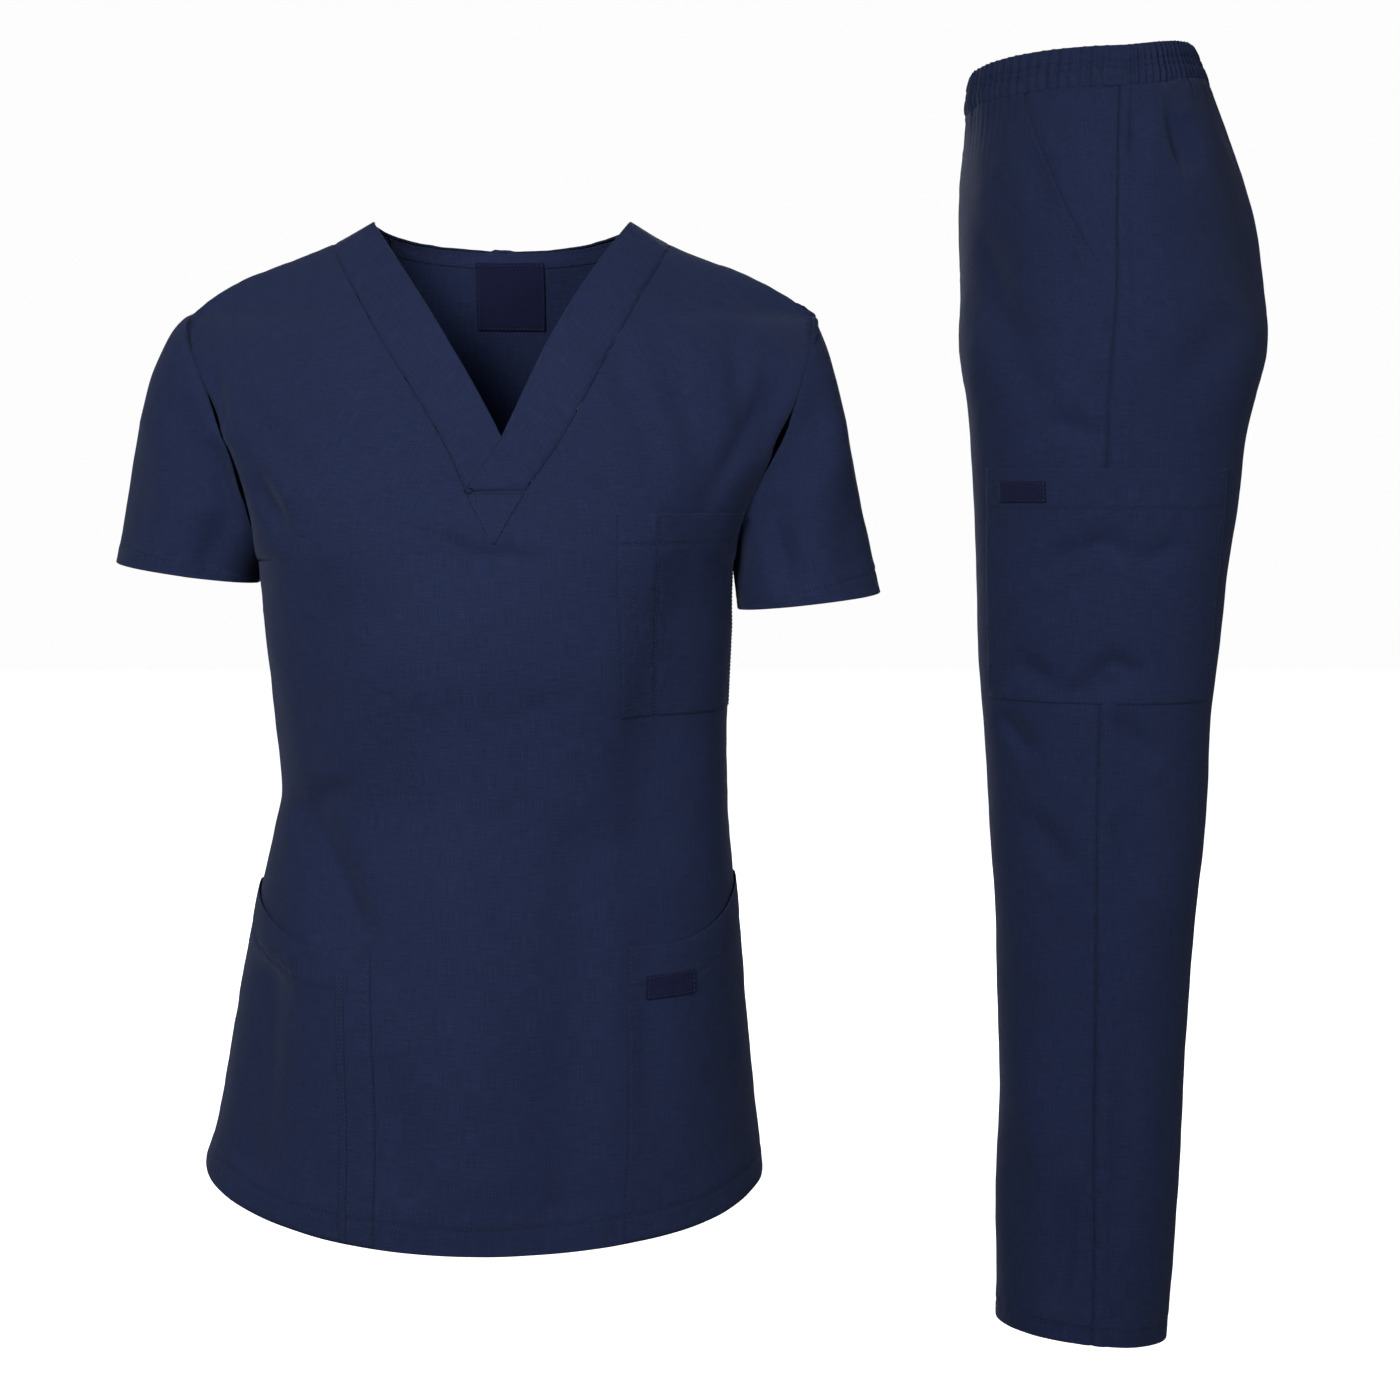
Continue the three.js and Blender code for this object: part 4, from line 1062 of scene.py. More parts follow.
TORSO_RINGS = Profile(
    "z half front back sway turn",
    [
        (10, 218, 20, 74, 0, 0),
        (-20, 218, 44, 80, 0, 0),
        (-80, 218, 72, 92, 1, 1),
        (-150, 193, 100, 104, 2, 2.5),
        (-190, 174, 112, 106, -3, 3),
        (-235, 166, 121, 104, -5, 3.5),
        (-294, 164, 124, 99, -4, 4),
        (-350, 160.5, 119, 95, -2.5, 4.2),
        (-398, 159, 117, 95, 0, 4.6),
        (-423, 162, 119, 98, -2, 5),
        (-481, 171, 128, 113, -7, 6),
        (-554, 181, 138, 129, -11, 7.4),
        (-628, 192, 146, 138, -15.5, 9),
        (-669, 201, 150, 141, -19, 9.6),
        (-700, 206, 152, 142, -20, 10),
    ],
)
ARMHOLE = Profile(
    "z out",
    [(10, 218), (-65, 218), (-80, 216.5), (-110, 206), (-144, 195), (-177, 181), (-210, 169), (-235, 166)],
)
SHOULDER = Profile("x z", [(90, 0), (118, -16), (145, -27), (180, -41), (204, -54), (218, -65)])


@dataclass
class TorsoForm:
    """The outer form of the top's body, in mm from the high shoulder points."""

    neck_half: float = 90
    band_at_shoulder: tuple[float, float] = (118, -18)
    v_point: tuple[float, float] = (0, -151)
    v_corner: tuple[float, float] = (20, -186)
    back_neck_drop: float = 14
    back_neck_depth: float = 72
    shoulder_tip: tuple[float, float] = (218, -65)
    underarm: float = -235
    armhole_front: float = 52
    armhole_back: float = 56
    shoulder_round: float = 88
    side_hem: float = -669
    front_hem_dip: float = 25
    back_hem_dip: float = 14
    hem_tilt: float = 12
    shoulder_open: float = 55
    swell_below: float = 50
    swell_above: float = 60
    swell_until: float = 0.55
    seam_blend: float = 0.9
    open_above: float = 110
    ridge_reach: float = 45
    neck_bow: float = 5
    rings: Profile = TORSO_RINGS
    armhole: Profile = ARMHOLE
    shoulder: Profile = SHOULDER

    def span(self, z: Array) -> Array:
        """Returns the degrees that a panel spans each way from its middle line at a level."""
        return lerp(90, self.shoulder_open, smooth(z, self.underarm, self.underarm + self.open_above))

    def edge(self, z: Array, face: Face) -> tuple[Array, Array, Array]:
        """Finds the seam at a panel's side.

        Args:
            z: levels.
            face: the front or the back.

        Returns:
            The seam's distance from the middle, how far it bows forward or back, and what the panel itself
            takes of that bow, which sets in softly below the underarm.
        """
        tip = self.shoulder_tip[1]
        middle, high = (self.underarm + tip) / 2, (tip - self.underarm) / 2
        reach = self.armhole_front if face is FRONT else self.armhole_back
        below = z <= self.underarm
        round_off = np.sqrt(np.clip(1 - ((z - middle) / high) ** 2, 0, 1)) ** 0.9
        bow = np.where(below | (z > tip), 0, reach * round_off)
        swell = reach * smooth(z, self.underarm - self.swell_below, self.underarm + self.swell_above)
        out = np.where(below, self.rings.read("half", z), self.armhole.read("out", z))
        return out, bow, np.where(z < middle, swell, bow)

    def ridge(self, x: Array, face: Face) -> tuple[Array, Array]:
        """Returns the height and the depth behind of the shoulder line, carried on across the neck."""
        away = np.abs(x)
        round_off = np.sqrt(np.clip(1 - (away / self.neck_half) ** 2, 0, 1)) * (face is BACK)
        over = away >= self.neck_half
        height = np.where(over, self.shoulder.read("z", away), -self.back_neck_drop * round_off)
        return height, np.where(over, 0, self.back_neck_depth * round_off)

    def point(self, across: Array, z: Array, face: Face) -> Array:
        """Finds points of the front or the back.

        Args:
            across: shares from -1 at the wearer's right seam to 1 at the left one.
            z: levels.
            face: the front or the back.

        Returns:
            The points in mm.
        """
        across, z = np.broadcast_arrays(np.asarray(across, float), np.asarray(z, float))
        out, round_bow, swell = self.edge(z, face)
        span = np.radians(self.span(z))
        angle = across * span
        x = out * squared(np.sin(angle)) / squared(np.sin(span))
        full = self.rings.read("front" if face is FRONT else "back", z)
        bulge = (squared(np.cos(angle)) - squared(np.cos(span))) / (1 - squared(np.cos(span)))
        bow = lerp(swell, round_bow, smooth(np.abs(across), self.swell_until, 1.0))
        depth = bow + (full - bow) * bulge
        height, behind = self.ridge(x, face)
        fall = np.clip((height - z) / self.shoulder_round, 0, 1)
        rounding = np.sqrt(1 - (1 - fall) ** 2)
        at_seam = np.clip((np.abs(across) - self.seam_blend) / (1 - self.seam_blend), 0, 1)
        at_seam = at_seam ** (1 + 9 * (1 - smooth(height - z, 0, self.ridge_reach)))
        rounding = lerp(rounding, 1.0, at_seam)
        local = behind * (1 - at_seam) + (depth - behind * (1 - at_seam)) * rounding
        return self.twisted(x, face.value * local, z)

    def twisted(self, x: Array, y: Array, z: Array) -> Array:
        """Returns points turned and swayed as the filled top is."""
        turn = np.radians(self.rings.read("turn", z))
        along = self.rings.read("sway", z) + x * np.cos(turn) - y * np.sin(turn)
        return np.stack([along, x * np.sin(turn) + y * np.cos(turn), z], -1)

    def share(self, x: Array, z: Array, face: Face = FRONT) -> Array:
        """Returns the share across at which a point lies x from the middle."""
        z = np.asarray(z, float)
        span = np.radians(self.span(z))
        sine = squared(x / self.edge(z, face)[0] * squared(np.sin(span)), 1 / RING_POWER)
        return np.arcsin(np.clip(sine, -1, 1)) / span

    def hem(self, across: Array, face: Face = FRONT) -> Array:
        """Returns the level of the rounded hem at shares across."""
        dip = self.front_hem_dip if face is FRONT else self.back_hem_dip
        level = self.side_hem - self.hem_tilt * np.asarray(across)
        return level - dip * np.abs(np.cos(np.radians(90 * np.asarray(across)))) ** 1.5

    def seam_line(self, t: Array) -> tuple[Array, Array]:
        """Returns the band's outer seam at shares of the way from the shoulder to the V's corner."""
        return (
            lerp(self.band_at_shoulder[0], self.v_corner[0], t),
            lerp(self.band_at_shoulder[1], self.v_corner[1], t),
        )

    def open_line(self, t: Array) -> tuple[Array, Array]:
        """Returns the V's edge at shares of the way from the shoulder to its point."""
        x = lerp(self.neck_half, self.v_point[0], t) - self.neck_bow * np.sin(math.pi * np.asarray(t))
        return x, lerp(0, self.v_point[1], t)


TOP_FOLDS = (
    bend((-134, -190), (-112, -268), (-122, -330), (-140, -400), width=27, depth=1.5, steep=0.75),
    bend((-58, -208), (-9, -228), (46, -232), width=13, depth=1.3, steep=0.5),
    trough(138, -215, 104, -420, 26, 2.2),
    trough(-132, -405, -110, -478, 13, 3.5),
    trough(-30, -330, -12, -640, 34, -4),
    trough(60, -430, 48, -660, 22, 3.5),
    trough(-158, -520, -172, -640, 14, 3.5),
    trough(-110, -180, -60, -380, 26, 4.5, BACK),
    trough(118, -190, 84, -400, 24, 4.5, BACK),
    trough(-90, -392, 70, -372, 20, 4, BACK),
    trough(-70, -430, -96, -640, 24, 5, BACK),
    trough(40, -420, 58, -650, 26, 5, BACK),
    trough(130, -420, 150, -610, 20, 4, BACK),
    bend((100, -500), (101, -380), (112, -290), (150, -196), width=28, depth=1.3, steep=0.7),
    bend((-90, -486), (-104, -440), (-132, -396), width=14, depth=1.5, steep=0.7),
    bend((-158, -660), (-154, -585), (-150, -505), width=17, depth=1.1, steep=0.8),
    bend((-176, -150), (-160, -184), (-140, -226), width=10, depth=0.8, steep=0.8),
    bend((-186, -104), (-150, -150), (-118, -176), width=13, depth=0.9, steep=0.6),
    bend((186, -120), (160, -170), (140, -205), width=9, depth=1.3, steep=0.6),
    crease(-168, -175, -140, -215, 7, 1.6),
    crease(-60, -228, -8, -236, 8, 1.0),
    crease(70, -70, 118, -180, 11, 1.4),
    crease(104, -60, 150, -190, 11, 1.6),
    crease(160, -70, 172, -150, 8, 1.6),
    crease(186, -95, 176, -165, 7, 1.4),
    crease(-130, -395, -96, -388, 8, 1.6),
    crease(-100, -455, -84, -520, 15, 0.8),
    crease(-118, -430, -80, -486, 10, 1.2),
    crease(-70, -560, -60, -660, 18, 1.6),
    crease(10, -250, 30, -330, 26, -1.2),
    crease(100, -470, 108, -640, 13, 1.2),
    crease(-20, -250, -52, -330, 24, -1.2),
    crease(-150, -180, -118, -240, 9, 1.6, BACK),
    crease(150, -190, 118, -260, 10, 1.6, BACK),
    crease(-120, -120, -40, -150, 14, 1.2, BACK),
    crease(40, -150, 126, -116, 14, 1.2, BACK),
    crease(-30, -400, 30, -420, 12, 1.6, BACK),
    crease(-120, -400, -50, -430, 11, 1.6, BACK),
)
SLEEVE_FOLDS = (
    crease(196, -105, 184, -165, 8, 2.2),
    crease(206, -130, 190, -205, 9, 2.0),
    crease(222, -110, 212, -190, 12, 1.6),
    crease(186, -190, 200, -262, 10, 2.2),
    crease(240, -170, 250, -262, 16, 1.4),
    crease(210, -120, 196, -215, 12, 2.4, BACK),
    crease(236, -150, 232, -240, 14, 2.0, BACK),
    crease(-200, -95, -186, -150, 8, 2.0),
    crease(-196, -150, -178, -215, 8, 2.4),
    crease(-214, -120, -206, -200, 13, 1.6),
    crease(-186, -200, -206, -250, 10, 1.6),
    crease(-246, -140, -256, -230, 16, 1.2),
    crease(-212, -115, -196, -205, 12, 2.4, BACK),
    crease(-240, -140, -236, -225, 14, 2.0, BACK),
)
ALL_TOP_FOLDS = TOP_FOLDS + SLEEVE_FOLDS


@dataclass(frozen=True)
class Cuff:
    """The open end of a sleeve, in mm, and how the cloth leaves the armhole for it."""

    at: tuple[float, float]  # its middle, from the side and up
    half: float  # half its width across
    tilt: float  # how much lower its outer end is than its middle
    crown: tuple[float, float]  # the way, sideways and up, that the cloth leaves the top of the armhole
    depth: float = 53.0  # half its width from front to back
    forward: float = 2.0  # how far its middle lies back


@dataclass
class ScrubTop(Garment):
    """The V-neck top: panels, sleeves, neck band and the triangle under the V."""

    form: TorsoForm
    unevenness: Unevenness = Unevenness(120, 34, 0.22, 3)
    pitch: float = 3.7
    cloth: float = 1.5
    band: float = 2.2
    hem: float = 17.5
    cuff_hem: float = 19
    yoke: float = 150.0
    sleeve_columns: int = 104
    sleeve_length: float = 190.0
    sleeve_round: float = 340.0
    sleeve_pull: float = 0.7
    band_run: float = 215.0
    band_lap: float = 42.0
    band_wide: float = 35.0
    triangle_tip: float = -221.0
    triangle_rows: tuple[float, float] = (2.4, 7.0)
    front_cut: Cut = Cut(0.56, 0.70, 0.31)
    back_cut: Cut = Cut(0.56, 0.71, 0.33)
    sleeve_cut: Cut = Cut(0.38, 0.19, 0.048)
    band_cut: Cut = Cut(0.037, 0.26)
    triangle_cut: Cut = Cut(0.042, 0.036, 0.0008)
    left_cuff: Cuff = Cuff((216, -265), 50.5, 6, (0.4, -0.8))
    right_cuff: Cuff = Cuff((-225.5, -244.5), 50, 7.5, (0.85, -0.5))

    def build(self) -> None:
        """Builds and dresses every piece of the top."""
        for name, face, cut in (("top_front", FRONT, self.front_cut), ("top_back", BACK, self.back_cut)):
            panel = self.panel(name, face)
            self.finish(panel, self.cloth, cut, "hung")
            self.stitches.along(panel.line(ROW, self.hem, 2, 2))
        self.sleeve("sleeve_left", LEFT, self.left_cuff)
        self.sleeve("sleeve_right", RIGHT, self.right_cuff)
        self.neck_band("neckband_left", LEFT)
        self.neck_band("neckband_right", RIGHT)
        self.triangle()

    def hang(self, cloth: Cloth) -> Cloth:
        """Gives a piece the top's folds and unevenness, and returns it."""
        return self.unevenness.give(cloth.fold(ALL_TOP_FOLDS))

    def panel(self, name: str, face: Face) -> Cloth:
        """Makes the front or the back panel.

        Args:
            name: its node's name.
            face: which it is.

        Returns:
            The panel as it hangs.
        """
        form = self.form
        tip = form.shoulder_tip[0]
        across = stops(2 * tip, self.pitch, [tip - form.v_corner[0], tip + form.v_corner[0]])
        x = across - tip
        top = form.ridge(x, face)[0]
        if face is FRONT:
            share = (form.band_at_shoulder[0] - np.abs(x)) / (form.band_at_shoulder[0] - form.v_corner[0])
            top = np.where(np.abs(x) < form.band_at_shoulder[0], form.seam_line(np.clip(share, 0, 1))[1], top)
        shares = form.share(x, top, face)
        shares[[0, -1]] = -1, 1
        body, yoke = form.underarm - form.side_hem, self.yoke
        low = stops(body, self.pitch, [self.hem])
        high = stops(yoke, self.pitch)[1:]
        up = np.concatenate([low, body + high])
        part = (high / yoke)[:, None]
        even = np.sin(math.pi * part / 2)
        crowded = (1 - np.cos(math.pi * part)) / 2
        mixed = lerp(even, crowded, np.abs(shares)[None, :] ** 3)
        lower = lerp(form.hem(shares, face)[None, :], form.underarm, (low / body)[:, None])
        z = np.vstack([lower, lerp(form.underarm, top[None, :], mixed)])
        points = form.point(shares[None, :], z, face)
        if face is BACK:
            points = points[:, ::-1]
        panel = Cloth(name, points, across, up)
        self.hang(panel)
        edges = [Line(COLUMN, 0, 0.3, 1.6), Line(COLUMN, 2 * tip, 0.3, 1.6)]
        edges += [Line(ROW, body + yoke, 0.4, 1.8), Line(ROW, self.hem)]
        return panel.sew(edges, seed=11)

    def sleeve(self, name: str, side: Side, cuff: Cuff) -> None:
        """Makes a sleeve: a tube from the armhole's loop to the cuff.

        Args:
            name: its node's name.
            side: the wearer's side.
            cuff: its open end.
        """
        form, sign = self.form, side.value
        count = self.sleeve_columns
        turn = np.arange(count) * 2.0 / count
        turn = turn if side is LEFT else (2.0 - turn) % 2.0
        front_half = turn <= 1
        step = np.where(front_half, turn, 2 - turn)
        crowded = (1 - np.cos(math.pi * step)) / 2
        level = lerp(form.underarm, form.shoulder_tip[1], crowded)
        start = np.where(
            front_half[:, None],
            form.point(np.full(count, float(sign)), level, FRONT),
            form.point(np.full(count, float(sign)), level, BACK),
        )
        angle = math.pi * turn
        rise = ((1 - np.cos(angle)) / 2)[:, None]
        end = np.stack(
            [
                cuff.at[0] - sign * cuff.half * np.cos(angle),
                cuff.forward - cuff.depth * np.sin(angle),
                cuff.at[1] - cuff.tilt * np.cos(angle),
            ],
            -1,
        )
        reach = self.sleeve_pull * np.linalg.norm(end - start, axis=1, keepdims=True)

        def heading(x: tuple[float, float], z: tuple[float, float]) -> Array:
            """Returns the way that the cloth runs, which turns from the underarm to the top."""
            way = np.hstack([sign * lerp(*x, rise), np.zeros((count, 1)), lerp(*z, rise)])
            return way / np.linalg.norm(way, axis=1, keepdims=True) * reach

        leave = heading((0.34, cuff.crown[0]), (-1, cuff.crown[1]))
        arrive = heading((0.1, 0.28), (-0.96, -0.96))
        length = self.sleeve_length
        up = stops(length, self.pitch, [self.cuff_hem])
        t = (1 - up / length)[:, None, None]
        gone = t * t * (3 - 2 * t)
        points = lerp(start, end, gone) + leave * t * (1 - t) ** 2 - arrive * t * t * (1 - t)
        across = np.arange(count) * self.sleeve_round / count
        sleeve = Cloth(name, points, across, up, closed=True)
        self.hang(sleeve)
        lines = [Line(ROW, length, 0.3, 1.6), Line(ROW, self.cuff_hem)]
        lines += [Line(COLUMN, 0, 0.5, 2.0)]
        sleeve.sew(lines, pucker=0.35, seed=31)
        self.stitches.along(sleeve.line(ROW, self.cuff_hem))
        self.finish(sleeve, self.cloth, self.sleeve_cut, "hung")

    def neck_band(self, name: str, side: Side) -> None:
        """Makes one side of the folded neck band. The left one laps over, to a point at the far seam.

        Args:
            name: its node's name.
            side: the wearer's side.
        """
        form = self.form
        laps = side is LEFT
        run, lap, wide = self.band_run, self.band_lap, self.band_wide
        along = stops(run, 3.4)
        if laps:
            along = np.concatenate([along, run + stops(lap, 3.4)[1:]])
        width = stops(wide, 3.2)
        t = np.clip(along / run, 0, 1)
        past = np.clip((along - run) / lap, 0, 1)
        corner, point = form.v_corner, form.v_point
        seam_x, seam_z = form.seam_line(t)
        seam_x = np.where(past > 0, corner[0] * (1 - 2 * past), seam_x)
        open_x, open_z = form.open_line(t)
        open_x = np.where(past > 0, lerp(point[0], -corner[0], 0.97 * past) + 0.6, open_x)
        open_z = np.where(past > 0, lerp(point[1], corner[1], 0.97 * past) - 0.3, open_z)
        share = (width / wide)[:, None]
        x = side.value * lerp(seam_x[None, :], open_x[None, :], share)
        z = lerp(seam_z[None, :], open_z[None, :], share)
        z[:, 0] = form.ridge(x[:, 0], FRONT)[0]
        points = form.point(form.share(x, z), z, FRONT)
        across = along
        if laps:
            points = points[:, ::-1]
            across = along[-1] - along[::-1]
        band = Cloth(name, points, across, width)
        self.hang(band)
        shoulder = Line(COLUMN, across[-1] if laps else 0.0, 0.8, 2.2)
        band.sew([Line(ROW, 0, 0.7, 1.8), shoulder], pucker=0.15, seed=41)
        over = 0.9 * smooth(band.up, 0, 4)[:, None] * np.ones(len(across))[None, :]
        if laps:
            over = over + 0.9 * np.exp(-((band.across / 30) ** 2))[None, :]
        band.push(over)
        self.finish(band, self.band, self.band_cut, "folded")

    def triangle(self) -> None:
        """Makes the triangle that backs the point of the V, with two rows of stitches down its sides."""
        form = self.form
        top, tip = form.v_corner[1] - 1.5, self.triangle_tip
        up = stops(top - tip, 2.2, [-3.0])
        across = stops(2 * form.v_corner[0], 2.2)
        z = lerp(tip, top, (up / up[-1])[:, None]) * np.ones(len(across))[None, :]
        half = lerp(1.0, form.v_corner[0], (z - tip) / (top - tip))
        x = half * (2 * across / across[-1] - 1)[None, :]
        patch = Cloth("neck_triangle", form.point(form.share(x, z), z, FRONT), across, up)
        self.hang(patch)
        lift_patch(patch, 1.0)
        patch.seam = np.minimum(patch.seam, patch.distance_to(Line(ROW, -1)))
        for inset, low, high in zip(self.triangle_rows, (1.5, 7), (2, 4)):
            for at in (inset, across[-1] - inset):
                self.stitches.along(patch.line(COLUMN, at, low, high))
        self.stitches.along(patch.line(ROW, -2.2, 2, 2))
        self.finish(patch, 0.9, self.triangle_cut, "laid")


ALL_ROUND = (True, True, True, True)
BUT_ITS_MOUTH = (True, False, True, True)
EDGE_ROLL = 1.5  # mm in which a sewn edge rolls down
MOUTH_REACH = 26  # mm below its mouth that a pocket gapes


def lift_patch(
    patch: Cloth, height: float, rolled: tuple[bool, bool, bool, bool] = ALL_ROUND, gape: float = 0.0
) -> None:
    """Raises a patch off the panel under it, its sewn edges rolled down on the panel.

    Args:
        patch: the patch, as yet in the panel's face.
        height: how high it stands in mm.
        rolled: whether its lowest, highest, first and last edges are sewn down.
        gape: how far its mouth, the highest edge, stands off beyond that in mm.
    """
    up, across = patch.up[:, None], patch.across[None, :]
    away = [up, up[-1] - up, across, across[:, -1:] - across]
    rise = np.full(patch.points.shape[:2], height)
    for distance, is_rolled in zip(away, rolled, strict=True):
        if is_rolled:
            rise = rise - 0.5 * height * np.exp(-((distance / EDGE_ROLL) ** 2))
            patch.seam = np.minimum(patch.seam, distance + 0 * patch.seam)
    mouth = np.exp(-(((up[-1] - up) / MOUTH_REACH) ** 2)) * np.sin(math.pi * across / across[:, -1:]) ** 0.8
    patch.push(rise + gape * mouth)


@dataclass
class TopPockets:
    """The pockets of the top, the strip down the right one and their blank label."""

    top: ScrubTop
    thickness: float = 0.9
    height: float = 1.0
    chest_inner: float = 81
    chest_side: float = 0.93
    chest_levels: tuple[float, float] = (-340, -202)
    chest_width: float = 92
    chest_hem: float = 20
    pen_slot: float = 18
    fold_over: float = 2.6
    edge_row: float = 1.8
    inner_row: float = 7.5
    lower_rise: float = 36
    mouth_curve: tuple[float, float] = (0.18, 1.12)
    lower_front_top: float = -495
    front_edge: tuple[float, float] = (84, 87)
    lower_side: float = 0.985
    lower_size: tuple[float, float] = (140, 190)
    lower_foot: float = 17
    lower_hem: float = 25
    strip_out: float = 19
    strip_width: float = 3
    strip_top: float = -500
    label_inset: float = 14
    label_size: tuple[float, float] = (33, 16)
    label_top: float = -515
    chest_cut: Cut = Cut(0.105, 0.16)
    lower_cut: Cut = Cut(0.15, 0.215)
    strip_cut: Cut = Cut(0.010, 0.185, 0.0014)
    label_cut: Cut = Cut(0.033, 0.016)

    def build(self) -> None:
        """Builds and dresses the pockets."""
        self.chest()
        self.lower("lower_pocket_left", LEFT)
        self.lower("lower_pocket_right", RIGHT)
        self.strip()
        self.label()

    def patch(
        self,
        name: str,
        size: tuple[float, float],
        sides: tuple[Share, Share],
        ends: tuple[Share, Share],
        pitch: float = 3.2,
        lines: tuple[Sequence[float], Sequence[float]] = ((), ()),
    ) -> Cloth:
        """Makes a patch in the front panel's face.

        Args:
            name: its node's name.
            size: its width and height in mm.
            sides: its side edges, as shares across at a level.
            ends: its bottom and top edges, as levels at a share across.
            pitch: the grid's pitch in mm.
            lines: stitched lines across and up.

        Returns:
            The patch.
        """
        form = self.top.form
        across, up = stops(size[0], pitch, lines[0]), stops(size[1], pitch, lines[1])
        u = (across / size[0])[None, :] * np.ones((len(up), 1))
        v = (up / size[1])[:, None] * np.ones((1, len(across)))
        z = lerp(ends[0](0 * u), ends[1](0 * u), v)
        for _ in range(4):
            share = lerp(sides[0](z), sides[1](z), u)
            z = lerp(ends[0](share), ends[1](share), v)
        patch = Cloth(name, form.point(share, z, FRONT), across, up)
        return self.top.hang(patch)

    def inner_edge(self, z: Array, more: float = 0.0) -> Array:
        """Returns the lower pockets' front edge at levels, from the middle."""
        low, high = self.front_edge
        form = self.top.form
        t = np.clip((z - form.side_hem) / (self.lower_front_top - form.side_hem), 0, 1)
        return lerp(low, high, t) + more

    def chest(self) -> None:
        """Makes the chest pocket, with a pen slot at its inner side."""
        form, stitches = self.top.form, self.top.stitches
        low, high = self.chest_levels
        patch = self.patch(
            "chest_pocket",
            (self.chest_width, high - low),
            (lambda z: form.share(self.chest_inner, z), lambda z: np.full_like(z, self.chest_side)),
            (lambda s: np.full_like(s, low), lambda s: np.full_like(s, high)),
            lines=((self.pen_slot, self.pen_slot + self.fold_over), (-self.chest_hem,)),
        )
        # The pocket beyond the pen slot stands a little higher at its mouth.
        beyond = smooth(patch.across, self.pen_slot - 0.5, self.pen_slot + 1)[None, :]
        at_mouth = np.exp(-(((patch.up[-1] - patch.up) / 16) ** 2))[:, None]
        lift_patch(patch, self.height, BUT_ITS_MOUTH, 1.2)
        patch.push(1.1 * beyond * at_mouth)
        slot = Line(COLUMN, self.pen_slot + self.fold_over, 0.5, 1.3)
        edge, inner = self.edge_row, self.inner_row
        patch.sew([slot, Line(ROW, -self.chest_hem, 0.35, 1.4)], pucker=0.12)
        stitches.along(
            patch.line(COLUMN, edge, edge),
            patch.line(COLUMN, -edge, edge),
            patch.line(ROW, edge, edge, edge),
            patch.line(ROW, inner, inner, inner),
            patch.line(COLUMN, inner, inner, 6),
            patch.line(COLUMN, self.pen_slot + self.fold_over, edge, 1.5),
            patch.line(ROW, -self.chest_hem, edge, edge),
        )
        self.top.finish(patch, self.thickness, self.chest_cut, "laid")

    def lower(self, name: str, side: Side) -> None:
        """Makes a lower pocket, set into the side seam and the hem, whose mouth dips to its front edge.

        Args:
            name: its node's name.
            side: the wearer's side.
        """
        form, stitches = self.top.form, self.top.stitches
        sign = side.value
        first = float(form.share(self.front_edge[1], self.lower_front_top))

        def mouth(share: Array) -> Array:
            """Returns the level of the pocket's mouth."""
            along = np.clip((np.abs(share) - first) / (self.lower_side - first), 0, 1)
            return self.lower_front_top + self.lower_rise * smooth(along, *self.mouth_curve)

        def front(z: Array) -> Array:
            """Returns the front edge."""
            return sign * form.share(self.inner_edge(z), z)

        def outer(z: Array) -> Array:
            """Returns the edge in the side seam."""
            return np.full_like(z, sign * self.lower_side)

        sides = (front, outer) if side is LEFT else (outer, front)
        patch = self.patch(
            name,
            self.lower_size,
            sides,
            (lambda s: form.hem(s) + 0.6, mouth),
            lines=((), (self.lower_foot, -self.lower_hem)),
        )
        lift_patch(patch, self.height, BUT_ITS_MOUTH, 2.4)
        foot = Line(ROW, self.lower_foot, 0.45, 1.5)
        patch.sew([Line(ROW, -self.lower_hem, 0.35, 1.4), foot], pucker=0.15, seed=17)
        edge = self.edge_row
        front_row = sign * edge
        stitches.along(
            patch.line(COLUMN, front_row, edge, 1.5),
            patch.line(ROW, -self.lower_hem, edge, edge),
            patch.line(ROW, self.lower_foot, 1, 1),
            patch.line(COLUMN, front_row * 2.2, patch.up[-1] - self.lower_hem + 2, 1.2),
        )
        self.top.finish(patch, self.thickness, self.lower_cut, "laid")

    def strip(self) -> None:
        """Makes the narrow strip down the right lower pocket, stitched along both edges."""
        form, stitches = self.top.form, self.top.stitches

        def edge(more: float) -> Share:
            """Returns one of the strip's side edges."""
            return lambda z: form.share(-(self.inner_edge(z) + self.strip_out + more), z)

        patch = self.patch(
            "utility_strip",
            (self.strip_width + 2, 180),
            (edge(self.strip_width + 1), edge(-1)),
            (lambda s: form.hem(s) + 1.0, lambda s: np.full_like(s, self.strip_top)),
            pitch=1.6,
        )
        patch.push(self.height)
        lift_patch(patch, 0.9)
        stitches.along(
            patch.line(COLUMN, 0.9, 2, 2),
            patch.line(COLUMN, -0.9, 2, 2),
        )
        self.top.finish(patch, 0.7, self.strip_cut, "laid")

    def label(self) -> None:
        """Makes the blank woven label at the left lower pocket's front top corner."""
        form, stitches = self.top.form, self.top.stitches
        width, height = self.label_size
        patch = self.patch(
            "pocket_label",
            (width, height),
            (
                lambda z: form.share(self.inner_edge(z, self.label_inset), z),
                lambda z: form.share(self.inner_edge(z, self.label_inset + width), z),
            ),
            (lambda s: np.full_like(s, self.label_top - height), lambda s: np.full_like(s, self.label_top)),
            pitch=1.8,
        )
        patch.push(self.height + 1.2)
        lift_patch(patch, 0.8)
        edge_stitches(patch, stitches, 1.1)
        self.top.finish(patch, 0.6, self.label_cut, "laid", Finish.LABEL)


def edge_stitches(patch: Cloth, stitches: Stitches, inset: float) -> None:
    """Sews a small patch down all round.

    Args:
        patch: the patch.
        stitches: the garment's stitches.
        inset: the distance from its edges in mm.
    """
    for axis in Axis:
        for at in (inset, -inset):
            stitches.along(patch.line(axis, at, inset, inset))


